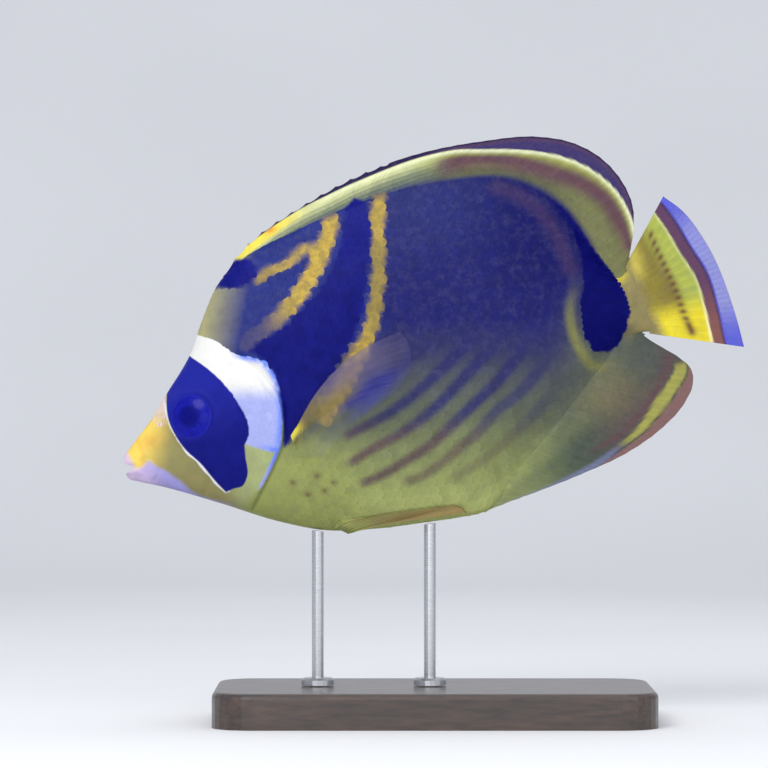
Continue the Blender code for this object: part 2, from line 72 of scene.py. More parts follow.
# Half the body's width at these distances from the snout
WIDTH_AT = [-1, 1, 3, 8, 14, 21, 30, 42, 56, 72, 88, 104, 118, 128, 134, 139.5]
HALF_WIDTH = [0.9, 2.1, 2.9, 4.2, 5.7, 7.9, 10.3, 12.2, 12.6, 12.0, 10.5, 8.4, 6.2, 4.3, 3.1, 1.5]
WIDEST = -0.12  # the height where a section is widest, from -1 at the belly to 1 at the back
ROUND_HEAD = 0.57  # how full a section of the head is, and of the trunk: 0.5 is an ellipse
ROUND_TRUNK = 0.84
HEAD_EDGE, TRUNK_EDGE = 0.6, 1.0  # half the thickness near the outline, which is then rounded off
COAT = 0.2  # how deep the skin lies under the tips of the scales
FIN_PINCH = 0.45  # how much the skin thins towards the roots of the back and anal fins
TAIL_TAPER = 0.62  # how much the tail stalk thins where the tail fin grows out of it

# Head
GILL_LINE = [
    (26.6, 32.5), (29.4, 26.5), (33.5, 20), (38.5, 13), (41.8, 7.4), (42.9, 1.5), (41.9, -3.6),
    (39.6, -8.6), (35.6, -13.4), (31.2, -18), (27.8, -21.6), (25.4, -25.5),
]
GILL_FLARE, GILL_FLARE_LENGTH = 0.8, 9.0  # how far the gill cover stands out, and over what length it rises
GILL_SLIT = 0.55  # depth of the slit behind it
CHEEK_GROOVE = 12.5  # how far ahead of the gill cover's edge the cheek's groove runs
EYE = (19.9, 5.2)
EYE_SEEN = 5.75  # radius of the eye that shows
EYE_RADIUS = 6.9
EYE_DEPTH = 3.3
ORBIT_RIM, ORBIT_DEPTH = 0.22, 1.4  # height of the skin's rim round the eye, and depth of its socket
MOUTH_LINE = [(-3, -2.5), (0.5, -2.6), (2.6, -2.9), (5.6, -4.9), (8.6, -8.4), (10.4, -14.5)]
MOUTH_CORNER = 2.65
MOUTH_SLOPE, MOUTH_HALF = 2.6, 1.3  # the gape runs this far ahead of its corner, and opens this far each way
# Rings of the mouth's lining: how far in each lies, its share of the lips' width, and how far it has closed
MOUTH_RINGS = [(0.15, 0.86, 0.0), (0.5, 0.7, 0.05), (1.3, 0.5, 0.2), (2.6, 0.3, 0.5), (4.0, 0.1, 0.8)]
LIP_PLATE = [(2.9, -2.6), (4.6, -1.5), (6.3, -1.8), (7.6, -4.4), (7.2, -6.6), (5.8, -7.4)]
SNOUT_CREASE = [(4.6, 4.3), (5.1, 1.5), (5.0, -1.1), (4.2, -2.6)]
COVER_FOLD = [(38.6, 9.6), (39.4, 7.2), (40.7, 4.3)]
NOSTRILS = [(11.6, 5.8), (13.1, 7.3)]

# Rings of a nostril: radius, height over the skin, and how far each belongs to the hole, whose dark colour
# is painted shade
NOSTRIL_RADII = [0.02, 0.16, 0.24, 0.34, 0.46, 0.56, 0.66]
NOSTRIL_RISE = [-0.02, -0.02, 0.10, 0.18, 0.15, 0.04, -0.2]
NOSTRIL_HOLE = [1, 1, 0.5, 0, 0, 0, 0]
SECOND_NOSTRIL = 0.7  # size of the rear nostril, as a share of the front one
PECTORAL_PAD, PAD_HEIGHT = (44.2, -9.8), 0.9  # the low swelling that the breast fin grows from

# Fins, as in the solids, though the back and anal fins start a little further forward
BACK_FIN_FROM, BACK_FIN_TO = 37.4, 136.0
BACK_FIN_MARGIN = [
    (37.8, 37.1), (39.6, 38.9), (41.6, 40.4), (44.6, 42.3), (49.4, 44.6), (61.8, 48.4), (78.9, 51.8),
    (95, 52.5), (110.6, 50.9), (125.6, 47.6), (132.6, 44.1), (138.6, 38.4), (142.4, 30.6), (143.2, 24),
    (141.6, 17.8), (138.6, 11.8),
]
BACK_FIN_SPINES, BACK_FIN_RAYS = 12, 24
BACK_FIN_SWEEP = 0.06  # how far the rays lean back, as a share of the fin's margin
ANAL_FIN_FROM, ANAL_FIN_TO = 81.5, 134.0
ANAL_FIN_MARGIN = [
    (84.2, -40.1), (88.4, -39.6), (96, -39.1), (110.2, -38.0), (124, -36), (134, -32.6), (141, -28.4),
    (144.8, -23.8), (145.3, -20.6), (143.4, -17), (140.2, -13.4), (137.6, -10.6),
]
ANAL_FIN_SPINES, ANAL_FIN_RAYS = 3, 18
ANAL_FIN_SWEEP = 0.03
TAIL_ROOT = [(138.6, 9.6), (139.6, -8.6)]
TAIL_MARGIN = [
    (151.3, 23.8), (154.8, 19), (157.8, 11.2), (159.4, 3.6), (160, -4.4), (160.1, -12.4), (159.8, -19),
]
TAIL_RAYS = 17
PECTORAL_ROOT = [(43.8, -7.0), (43.4, -12.6)]
PECTORAL_MARGIN = [
    (76.9, 10.2), (78, 6.6), (76.5, 0.6), (72.4, -3.2), (66.5, -5.8), (59, -8.8), (49.4, -14),
]
PECTORAL_RAYS = 15
PECTORAL_BOW = 4.5  # how far the foremost ray bends up
PECTORAL_SPREAD = math.radians(12)  # how far the fin stands off the flank
PELVIC_ROOT = [(49.6, -33.7), (47.2, -31.4)]
PELVIC_MARGIN = [(79.8, -38.6), (78.8, -36.9), (74, -35.3), (67.5, -34.1), (60.5, -33)]
PELVIC_RAYS = 6
PELVIC_SPREAD = math.radians(3)
FIN_SUNK, TAIL_SUNK = 3.0, 1.8  # how far the back and anal fins, and the tail fin, reach into the body
FIN_FILLET = 1.6  # extra thickness where the anal and tail fins grow out of the body
SPINE_RIDGE = 0.55  # how far a hard spine stands out of its fin
RAY_SPREAD = 0.24  # how far a soft ray's branches part, as a share of the distance between rays
FIN_OFF = 0.5  # the least distance between a paired fin's middle and the flank
ROOT_OFF, ROOT_SUNK = 0.55, 1.1  # how far a paired fin's root stands off the flank, and dips back into it
FIN_ROWS, TAIL_ROWS, PAIRED_ROWS = 40, 56, 44  # points of a fin's sheet from root to tip
SPINY_COLUMNS, SOFT_COLUMNS, ANAL_COLUMNS, TAIL_COLUMNS = 145, 290, 240, 224  # and along its root
BREAST_COLUMNS, BELLY_COLUMNS = 154, 60

# Scales on the body, by distance from the snout
SCALES_FROM, SCALES_TO = 9.0, 138.5
SCALE_SIZE_AT = [8, 14, 26, 40, 46, 58, 92, 112, 126, 139]
SCALE_SIZE = [0.9, 1.0, 1.35, 1.8, 2.3, 2.6, 2.5, 2.1, 1.6, 1.2]
SCALE_LENGTH = 1.75  # length of a scale, as a share of its height
SCALE_TILT = math.tan(math.radians(17))  # slope of the rows of scales
SCALE_STEP = 0.92  # distance between columns of scales, as a share of a scale's height
SCALE_POINTS = 5  # points of one scale, each way
SCALE_SUNK = 0.1  # how far a scale's rim reaches into the skin
SCALE_IN_MAP = 0.003  # size of a scale in the unwrap
UNEVEN_TURN, UNEVEN_SIZE = math.radians(2.5), 0.025  # how much scales differ in slant and in size
EDGE_SHEEN = 0.09  # painted sheen: how much lighter the free edge of a scale is painted
UNEVEN_TONE = 0.04  # how much scales differ in tone from one another
# Scales on a fin: size, share of the fin's height that they cover, and corner of their part of the unwrap
SPINY_SCALES, SOFT_SCALES = (1.15, 0.6, (0.02, 0.002)), (1.3, 0.62, (0.26, 0.002))
ANAL_SCALES, TAIL_SCALES = (1.35, 0.72, (0.50, 0.002)), (1.0, 0.34, (0.74, 0.002))
FIN_SCALE_LENGTH, FIN_SCALE_LIFT = 1.7, 0.09
SKIN_POINTS = 150  # points of the skin from belly to back, from lips to gill cover, and on to the tail
GRAIN_DEPTH = 0.00005  # depth of the skin's grain in metres

# Markings, closed outlines
MASK = [
    (22.7, -15.7), (20.9, -12.0), (18.9, -7.1), (16.1, -2.3), (14.4, 3.3), (14.1, 6.1), (14.3, 8.2),
    (15.4, 12.9), (16.5, 18), (21, 24), (23.8, 20.2), (27.3, 15.9), (30.3, 10.8), (32.4, 4.8),
    (33.1, -0.8), (32.5, -3.8), (30.9, -5.6), (30.2, -8.7), (29.3, -13.2), (27, -15.5), (24.9, -15.4),
    (22.7, -15.7),
]
WHITE_BAR = [
    (20, 22), (24, 27.6), (27.1, 24.9), (31.5, 21.6), (33.5, 19), (35.5, 16.9), (38.4, 15.6),
    (41.2, 13.7), (42.9, 10.7), (43.7, 6.4), (43.2, 1.9), (41.3, -4.2), (38.3, -9.4), (34.1, -7.6),
    (32, -6.1), (30, -4), (27, 8), (20, 17), (20, 22),
]
BAND = [
    (38.7, 16.8), (43.3, 18.5), (49.1, 20), (53.9, 22.8), (59.8, 26.3), (63.5, 29.7), (67.5, 33.8),
    (70.3, 39.6), (72.6, 45.5), (74, 51), (79, 51), (78, 43.9), (75.7, 32.7), (72.4, 25.6),
    (70.5, 20.9), (68, 16.3), (64.5, 12), (58.2, 6), (51.8, -0.1), (46.7, -5.2), (43.7, -6.8),
    (40.4, -9.2), (41.7, -3.6), (42.9, 2.5), (43.4, 8.4), (42, 13), (40.3, 15.2), (38.7, 16.8),
]
NAPE_SPOT = [
    (34.6, 34.9), (38.4, 39), (43.0, 40.2), (45.5, 38.7), (46.5, 36.8), (45.7, 34.3), (43.8, 33.1),
    (38.6, 33.4), (34.6, 34.9),
]
CRESCENT = [
    (112.7, 41.2), (116.7, 39.7), (120.5, 36.2), (124.1, 31.8), (126.8, 26.9), (128.7, 21.3),
    (130.1, 16.7), (132.0, 11.9), (133.7, 7.2), (134.4, 3.6), (134.7, 0.7), (134.1, -2.0),
    (132.8, -4.7), (131.0, -7.3), (128.2, -9.6), (125.3, -9.9), (122.5, -8.7), (121.6, -6.1),
    (121.3, -2.9), (122.2, 1.7), (123.7, 6.0), (125.6, 10.3), (126.5, 15.4), (126.6, 20.3),
    (125.6, 25.1), (123.4, 29.6), (120.2, 33.7), (116.6, 37.3), (112.7, 41.2),
]

# Markings along a line, each with its half width and how soft its edge is
YELLOW_LINES = [
    ([(68.2, 43), (66.8, 40), (64.8, 37), (62.6, 34), (59.9, 31.1), (56.9, 28.4), (53.6, 25.7),
      (49.5, 23.3), (45.6, 21.5), (41.8, 20), (38.7, 18.5)], 1.4, 1.1),
    ([(61.7, 36.9), (59.4, 37.3), (56.8, 36.4), (53.4, 35.1), (50.7, 34.9), (49, 34.8),
      (46.2, 33.3)], 0.5, 1.4),
    ([(82.1, 45.7), (79.6, 39.5), (77.8, 33.3), (76.1, 27.2), (73.8, 21.2), (71.1, 15.4),
      (68.1, 10.9), (64.8, 7.9)], 1.35, 0.8),
    ([(66, 9), (64.8, 7.9), (61.9, 4.8), (58.9, 1.7), (55.2, -1.8), (52.3, -4.6)], 1.3, 1.8),
]
STRIPES = [
    [(57.3, -3.4), (64.7, -1.3), (71.3, 0.6), (77.5, 3.4), (83.6, 6.2)],
    [(54.3, -11.2), (62.0, -9.9), (68.5, -8.5), (74.5, -6.4), (80.7, -3.6), (86.9, -0.5),
     (92.6, 2.8), (97.4, 5.3)],
    [(53.1, -18.5), (60.8, -16.2), (68.6, -14.6), (76.7, -12.0), (83.0, -9.0), (88.7, -5.7),
     (94.4, -2.4), (100.9, 1.6)],
    [(54.4, -23.9), (64.2, -22.6), (70.0, -21.0), (75.8, -19.4), (82.1, -16.4), (90.0, -12.4),
     (97.0, -8.9), (103.0, -4.7), (108.2, -0.7)],
    [(65.6, -26.7), (72.4, -26.1), (78.4, -24.2), (83.7, -21.9), (88.3, -19.9), (94.2, -16.1),
     (100.2, -13.9), (106.7, -10.2), (111.8, -6.4)],
    [(78, -29.6), (89.6, -26.2), (101.7, -20.6), (110, -16)],
]
STRIPE_HALF, STRIPE_SOFT = 0.5, 1.5
STRIPE_STRENGTH = [0.8, 1, 1, 1, 0.75, 0.4]
BREAST_SPOTS = [(39.8, -18.3), (42.6, -22.4), (49.6, -21.3), (46.2, -18.4), (46.8, -22.6)]
PALE_WEDGE = [
    (15.8, 13.6), (12.0, 10.0), (9.8, 7.4), (11.0, 5.2), (13.0, 5.0), (14.2, 6.4), (14.5, 9.4),
    (15.8, 13.6),
]
CHIN_EDGE = [
    (-2, -3.4), (2.6, -3.3), (4.4, -3.1), (6.3, -2.2), (7.1, -3.3), (7.8, -4.2), (9.6, -5.9),
    (11.2, -8), (12.7, -9.9), (14.2, -12.6), (15.9, -14.5), (18.1, -16.1), (22, -18),
]
RIM = [
    (125.0, 12.0), (122.9, 8.4), (120.6, 4.9), (119.3, 1.2), (118.9, -3.6), (119.6, -8.0),
    (121.4, -12.2), (125, -13.5), (129, -12),
]
BROWN_ARC = [(111.3, 38.3), (115.6, 35.2), (118.9, 31.3), (121.8, 24.1), (122.7, 18.2), (123.0, 12.6)]
BACK_FIN_BROWN = [
    (100, 47.9), (106.9, 47.4), (114.2, 45.1), (120.2, 41.9), (126, 38), (131.7, 33.8), (136.8, 27.7),
    (138.6, 22.1), (139.5, 17.6), (139.7, 14.4),
]
BACK_FIN_CLEAR = [
    (43, 41.6), (49, 43.9), (54, 45.6), (57.4, 46.6), (62.9, 48), (69.4, 49.1), (73.8, 49.8),
    (80.1, 50.5), (86.5, 51.1), (92, 51.4), (98, 51.3), (104.9, 50.5), (110, 49), (119.7, 45.9),
    (129.1, 41.4), (133.4, 38.2), (137.4, 33.8), (140.8, 27.4), (142, 20.9), (141.7, 15),
]
ANAL_CLEAR = [
    (88, -40.6), (104, -38.9), (115.9, -36.5), (121.8, -34.6), (129.4, -31.8), (135.0, -28.2),
    (141.3, -23.4), (143.7, -20.9), (144.6, -17),
]
ANAL_BROWN = [(141, -15.9), (138.1, -20.1), (129.2, -27.6), (121.8, -31.6), (111.9, -33.7)]
TAIL_BROWN_INNER = [
    (148.0, 20.4), (149.4, 16.3), (151.2, 9.0), (153.3, 0.9), (153.3, -5.8), (152.6, -15.2),
    (152.4, -18),
]
TAIL_BROWN_WIDTH = 3.0
TAIL_DOTS = [(145.3, 15.9), (145.9, 10.4), (146.6, 5.4), (147.3, -0.2), (147.6, -6.6), (148.2, -11.4)]


def srgb(red, green, blue):
    """A colour as shaders take it, from its values on a screen."""
    values = np.array([red, green, blue]) / 255
    return np.where(values < 0.04045, values / 12.92, ((values + 0.055) / 1.055) ** 2.4)


SNOUT_YELLOW, SNOUT_OLIVE, PALE_PINK = srgb(222, 194, 90), srgb(134, 128, 82), srgb(210, 190, 208)
CHIN, CHIN_PINK = srgb(148, 144, 200), srgb(186, 168, 204)
LIP, MOUTH_SHADE = srgb(192, 172, 202), srgb(60, 42, 84)
COVER_GREEN, BREAST = srgb(152, 160, 110), srgb(140, 146, 84)
BELLY_OLIVE, LOW_OLIVE, GREY_OLIVE = srgb(162, 169, 103), srgb(132, 140, 86), srgb(92, 98, 76)
SLATE_OLIVE, FLANK_LOW, FLANK = srgb(70, 74, 80), srgb(46, 48, 84), srgb(28, 30, 92)
NAPE_OLIVE, NAPE_SLATE = srgb(158, 154, 108), srgb(32, 42, 108)
FLANK_HIGH, FLANK_DARK = srgb(34, 40, 98), srgb(12, 13, 78)
NAVY, MASK_BLUE = srgb(2, 3, 80), srgb(30, 35, 136)
WHITE, WHITE_LOW, SKY = srgb(214, 213, 208), srgb(150, 157, 206), srgb(98, 124, 220)
GOLD, GOLD_DEEP, BRIGHT_YELLOW = srgb(178, 150, 66), srgb(108, 98, 62), srgb(222, 206, 80)
STRIPE_BROWN, STRIPE_SLATE, SPOT_BROWN = srgb(84, 64, 70), srgb(38, 38, 90), srgb(88, 62, 48)
RIM_OLIVE, RIM_BROWN = srgb(118, 118, 66), srgb(66, 50, 82)
STALK_TAN, TAIL_YELLOW, TAIL_DEEP = srgb(130, 120, 78), srgb(212, 196, 46), srgb(126, 114, 50)
TAIL_OLIVE = srgb(160, 168, 76)
DOT_BROWN, TAIL_BROWN, TAIL_RUST = srgb(92, 60, 46), srgb(88, 58, 84), srgb(120, 78, 72)
CLEAR_VIOLET = srgb(76, 81, 198)
FIN_YELLOW, FIN_PALE, FIN_OLIVE = srgb(150, 156, 78), srgb(196, 200, 146), srgb(86, 88, 62)
FIN_OLIVE_REAR = srgb(108, 110, 70)
FIN_BROWN, FIN_EDGE_PURPLE, SHEATH = srgb(92, 66, 72), srgb(56, 44, 98), srgb(113, 123, 100)
DARK_EDGE, FIN_WHITE, ORANGE = srgb(38, 28, 66), srgb(226, 228, 190), srgb(214, 140, 56)
ANAL_OLIVE, ANAL_GREY, ANAL_YELLOW = srgb(67, 77, 66), srgb(78, 80, 76), srgb(150, 148, 74)
ANAL_BROWNISH = srgb(112, 98, 74)
ANAL_LAVENDER = srgb(112, 118, 150)
MEMBRANE, MEMBRANE_RAY = srgb(44, 48, 160), srgb(96, 94, 160)
BREAST_FIN_EDGE, BREAST_FIN_GOLD = srgb(112, 102, 132), srgb(138, 124, 74)
PELVIC_BROWN = srgb(140, 122, 74)
SPECKLE, BLOOM = (0.02, 0.02, 0.05), (0.34, 0.33, 0.42)
PUPIL, IRIS, IRIS_LIGHT, IRIS_RIM = srgb(4, 6, 104), srgb(8, 12, 124), srgb(14, 20, 144), srgb(44, 52, 160)
NOSTRIL_PALE, NOSTRIL_ROSE, NOSTRIL_HOLE_SHADE = srgb(232, 200, 206), srgb(216, 180, 180), srgb(60, 40, 60)
WOOD_DARK, WOOD_LIGHT, WOOD_STAIN = srgb(38, 28, 24), srgb(74, 54, 42), srgb(28, 21, 19)
STEEL_DARK, STEEL_LIGHT = srgb(176, 178, 181), srgb(192, 193, 196)
PAPER_DARK, PAPER_LIGHT = srgb(222, 222, 222), srgb(227, 227, 227)

# The lower flank's colours by height over the snout's tip, as the fish is posed
LEVELS = [
    (-15, BELLY_OLIVE), (-4, LOW_OLIVE), (9, GREY_OLIVE), (20, SLATE_OLIVE), (26, FLANK_LOW), (34, FLANK),
]

# What the material reads on a fin without marks
UNMARKED = {"dark": -9.0, "white": -9.0, "sky": 0.0, "gold": 0.0, "rich": 0.0, "light": 0.0, "pale": 0.0}


def ease(start, end, x):
    """0 before start, 1 after end, and a smooth step between the two."""
    t = np.clip((x - start) / (end - start), 0, 1)
    return t * t * (3 - 2 * t)


def bump(x, middle, spread):
    """A smooth hill of height 1."""
    return np.exp(-(((x - middle) / spread) ** 2))


def spot(x, z, place, wide=1, tall=1, spread=1):
    """A smooth hill of height 1 round a place in side view."""
    return bump(np.hypot((x - place[0]) / wide, (z - place[1]) / tall), 0, spread)


def posed_height(x, z):
    """Height over the snout's tip, as the fish is posed."""
    return x * math.sin(PITCH) + z * math.cos(PITCH)


def smooth(knots, values, at):
    """A smooth curve through the values, in cubic pieces that share their slopes."""
    knots, values = np.asarray(knots, float), np.asarray(values, float)
    at = np.clip(at, knots[0], knots[-1])
    slopes = np.gradient(values, knots, axis=0)
    i = np.clip(np.searchsorted(knots, at, side="right") - 1, 0, len(knots) - 2)
    step = knots[i + 1] - knots[i]
    t = (at - knots[i]) / step
    if values.ndim > 1:
        step, t = step[..., None], t[..., None]
    line = values[i] * (2 * t**3 - 3 * t**2 + 1) + values[i + 1] * (3 * t**2 - 2 * t**3)
    return line + step * (slopes[i] * (t**3 - 2 * t**2 + t) + slopes[i + 1] * (t**3 - t**2))


def lengths(points):
    """Length of a line of points up to each of them."""
    return np.concatenate([[0], np.cumsum(np.linalg.norm(np.diff(points, axis=0), axis=1))])


class Curve:
    """A smooth curve in side view through given points, read by the share of its length."""

    FINE = 600  # points that stand in for the curve where it is read closely
    STEP = 0.004  # share of the length over which its direction is read

    def __init__(self, points, rough=120):
        points = np.asarray(points, float)
        knots = lengths(points)
        self.points = smooth(knots, points, np.linspace(0, knots[-1], self.FINE))
        steps = np.linalg.norm(np.diff(self.points, axis=0), axis=1)
        self.shares = np.concatenate([[0], np.cumsum(steps)]) / steps.sum()
        self.rough = smooth(knots, points, np.linspace(0, knots[-1], rough))

    def at(self, share):
        """The place at this share of the length."""
        return np.stack([np.interp(share, self.shares, self.points[:, k]) for k in (0, 1)], axis=-1)

    def beside(self, share, distance):
        """The place at this share, moved to the left of the curve's run by a distance."""
        share = np.asarray(share, float)
        ahead = self.at(np.clip(share + self.STEP, 0, 1)) - self.at(np.clip(share - self.STEP, 0, 1))
        ahead = ahead / np.linalg.norm(ahead, axis=-1, keepdims=True)
        left = np.stack([-ahead[..., 1], ahead[..., 0]], axis=-1)
        return self.at(share) + left * np.asarray(distance)[..., None]

    def share_at(self, x):
        """The share where the curve, which runs from small to large x, reaches x."""
        return float(np.interp(x, self.points[:, 0], self.shares))

    def near(self, x, z):
        """Distance to the curve, the side it is on, and the share of the nearest stretch."""
        x, z = np.broadcast_arrays(np.asarray(x, float), np.asarray(z, float))
        flat_x, flat_z = x.ravel(), z.ravel()
        start, run = self.rough[:-1], np.diff(self.rough, axis=0)
        best = np.full(flat_x.shape, np.inf)
        side, share = np.zeros(flat_x.shape), np.zeros(flat_x.shape)
        for k, ((sx, sz), (rx, rz)) in enumerate(zip(start, run)):
            dx, dz = flat_x - sx, flat_z - sz
            t = np.clip((dx * rx + dz * rz) / (rx * rx + rz * rz), 0, 1)
            away = (dx - t * rx) ** 2 + (dz - t * rz) ** 2
            closer = away < best
            best[closer] = away[closer]
            side[closer] = (rx * dz - rz * dx)[closer]
            share[closer] = (k + t[closer]) / len(run)
        return [a.reshape(x.shape) for a in (np.sqrt(best), np.sign(side), share)]

    def distance(self, x, z):
        """Distance from places to the curve, positive on the left of its run."""
        away, side, _ = self.near(x, z)
        return away * np.where(side == 0, 1, side)

    def line(self, x, z, half, soft):
        """1 on a line drawn along the curve, fading to 0 past its half width."""
        return 1 - ease(half, half + soft, self.near(x, z)[0])


class Patch(Curve):
    """A closed outline in side view."""

    def inside(self, x, z):
        """Distance to the outline, positive inside it."""
        away = self.near(x, z)[0]
        within = np.zeros(away.shape, bool)
        for (ax, az), (bx, bz) in zip(self.rough[:-1], self.rough[1:]):
            if az != bz:
                within ^= ((az > z) != (bz > z)) & (x < ax + (z - az) * (bx - ax) / (bz - az))
        return np.where(within, away, -away)


BACK, BELLY = Curve(BACK_LINE), Curve(BELLY_LINE)
GILL, MOUTH = Curve(GILL_LINE), Curve(MOUTH_LINE)


def body_point(share, height, grown=0.0):
    """x, z and half thickness of the body, at a share of its length and a height from -1 to 1."""
    share, height = np.broadcast_arrays(np.asarray(share, float), np.asarray(height, float))
    low, high = BELLY.at(share), BACK.at(share)
    middle = (low[..., 0] + high[..., 0]) / 2
    width = smooth(WIDTH_AT, HALF_WIDTH, middle)
    trunk = ease(24, 46, middle)
    above = height > WIDEST
    from_widest = np.where(above, (height - WIDEST) / (1 - WIDEST), (WIDEST - height) / (1 + WIDEST))
    fullness = ROUND_HEAD + (ROUND_TRUNK - ROUND_HEAD) * trunk * np.where(above, 1, 0.7)
    edge = np.minimum(HEAD_EDGE + (TRUNK_EDGE - HEAD_EDGE) * trunk, width * 0.7)
    half = edge + (width - edge) * np.clip(1 - from_widest**2, 0, 1) ** fullness
    up = (high - low) / np.linalg.norm(high - low, axis=-1, keepdims=True)
    place = low + (high - low) * ((height + 1) / 2)[..., None] + up * grown * height[..., None]
    to_edge = (1 - np.abs(height)) * np.linalg.norm(high - low, axis=-1) / 2
    rounding = np.sqrt(np.clip(1 - (1 - np.clip(to_edge / edge, 0, 1)) ** 2, 0, 1))
    return place[..., 0], place[..., 1], (half + grown) * rounding


class EyeFrame:
    """A frame at the middle of the left eye's place on the head: two directions in its plane, and out."""

    def __init__(self):
        x, z = EYE
        step = 3.0

        def skin(x, z):
            return float(body_point(*share_height(x, z), -COAT)[2])

        along = (skin(x + step, z) - skin(x - step, z)) / (2 * step)
        up = (skin(x, z + step) - skin(x, z - step)) / (2 * step)
        self.origin = np.array([x, -skin(x, z), z])
        out = np.array([-along, -1, -up]) / math.hypot(1, along, up)
        across = np.cross([0, 0, 1], out)
        across /= np.linalg.norm(across)
        self.axes = np.stack([across, np.cross(out, across), out])

    def into(self, points):
        """Places of the left side, in this frame."""
        return (points - self.origin) @ self.axes.T

    def back(self, places):
        """Places in this frame, as points of the left side."""
        return places @ self.axes + self.origin


def share_height(x, z):
    """The share of the body's length and the height of its section, where a side view shows x, z."""
    low, high = 0.0, 1.0
    halvings = 30
    for _ in range(halvings):
        share = (low + high) / 2
        bottom, top = BELLY.at(share), BACK.at(share)
        behind = (top[0] - bottom[0]) * (z - bottom[1]) - (top[1] - bottom[1]) * (x - bottom[0]) < 0
        low, high = (share, high) if behind else (low, share)
    return share, float(np.clip(2 * (z - bottom[1]) / (top[1] - bottom[1]) - 1, -1, 1))


EYE_FRAME = EyeFrame()
LIP_EDGE, FOLD_LINE, LIP_CREASE = Curve(LIP_PLATE), Curve(COVER_FOLD), Curve(SNOUT_CREASE)


def breast_pad(x, z):
    """How far the breast fin's low swelling stands out."""
    return PAD_HEIGHT * spot(x, z, PECTORAL_PAD, 2.4, 4.2)


def relief(x, z):
    """What the skin's own forms add to the body's plain half thickness."""
    behind = GILL.distance(x, z)
    ahead = -behind
    cover = GILL_FLARE * (1 - ease(0, GILL_FLARE_LENGTH, ahead))
    cover = cover * ease(20, 6, z) * (1 - 0.5 * bump(ahead, 0, 0.3))
    slit = GILL_SLIT * bump(behind, 0, 0.9) * ease(24, 12, z)
    groove = 0.4 * bump(ahead, CHEEK_GROOVE, 1.1) * ease(5, -3, z) * ease(-21, -14, z)
    fold = 0.4 * FOLD_LINE.line(x, z, 0, 0.6) + 0.07 * LIP_CREASE.line(x, z, 0, 0.8)
    plate_side = LIP_EDGE.distance(x, z)
    plate = 0.12 * ease(-0.1, -0.5, plate_side) * ease(-4, -1.5, plate_side)
    plate = (plate - 0.09 * bump(plate_side, 0.1, 0.35)) * ease(2.4, 3.4, x)
    lips = 0.4 * bump(np.abs(MOUTH.distance(x, z)), 1.15, 0.75) * ease(4.2, 2.4, x)
    return np.where(ahead >= 0, cover - groove - fold + plate + lips, breast_pad(x, z) - slit)


def orbit(points):
    """Levels the skin round the eye, with a low rim, and sinks it behind the eyeball."""
    mirrored = points * [1, -1, 1]
    left = points[..., 1:2] <= 0
    local = EYE_FRAME.into(np.where(left, points, mirrored))
    radius = np.hypot(local[..., 0], local[..., 1])
    level = ORBIT_RIM * bump(radius, 6.5, 0.8) - ORBIT_DEPTH * ease(5.7, 4.2, radius)
    near = (1 - ease(5.9, 9.5, radius)) * (np.abs(local[..., 2]) < 6)
    local[..., 2] += near * (level - local[..., 2])
    moved = EYE_FRAME.back(local)
    return np.where(left, moved, moved * [1, -1, 1])


def skin_at(share, height, side=-1):
    """Points of the skin in the fish's frame, on the side's flank."""
    x, z, half = body_point(share, height, -COAT)
    half = half * (1 - TAIL_TAPER * ease(134.5, 139.4, x))
    finned = np.where(height > 0, ease(40, 54, x), ease(76, 92, x)) * ease(138, 130, x)
    half = half * (1 - FIN_PINCH * ease(0.62, 1.0, np.abs(height)) * finned)
    rounded = np.clip((1 - np.abs(height)) * 12, 0, 1)
    points = np.stack([x, side * (half + relief(x, z) * rounded), z], axis=-1)
    return orbit(points)


def to_world(points):
    """Points of the fish's frame, in metres over the base."""
    ends = [x * math.cos(PITCH) - z * math.sin(PITCH) for x, z in (BACK_LINE[0], TAIL_MARGIN[-1])]
    x = points[..., 0] * math.cos(PITCH) - points[..., 2] * math.sin(PITCH) - sum(ends) / 2
    z = posed_height(points[..., 0], points[..., 2]) + SNOUT_HEIGHT
    return np.stack([x, points[..., 1], z], axis=-1) * MM


def spaced(count, density):
    """Places from 0 to 1 that lie closer where the density is higher."""
    fine = 2001
    at = np.linspace(0, 1, fine)
    total = np.concatenate([[0], np.cumsum(density((at[1:] + at[:-1]) / 2))])
    return np.interp(np.linspace(0, total[-1], count), total, at)


def grid_faces(rows, columns, wrap=False):
    """Quads of a grid of points that is stored row by row."""
    across = np.arange(columns if wrap else columns - 1)
    i, j = np.meshgrid(np.arange(rows - 1), across, indexing="ij")
    n = (j + 1) % columns
    corners = [i * columns + j, i * columns + n, (i + 1) * columns + n, (i + 1) * columns + j]
    return np.stack(corners, axis=-1).reshape(-1, 4)


def fan_faces(start, count, centre):
    """Triangles from a closed ring of points to a centre."""
    j = np.arange(count)
    return np.stack([start + j, start + (j + 1) % count, np.full(count, centre)], axis=1)


def facing_out(points, faces):
    """The same faces, turned round where they would face in."""
    a, b, c = (points[faces[:, k]] for k in (0, 1, 2))
    d = points[faces[:, -1]]
    volume = np.einsum("ij,ij->", np.cross(a, b), c) + np.einsum("ij,ij->", np.cross(a, c), d)
    return faces if volume > 0 else faces[:, ::-1]


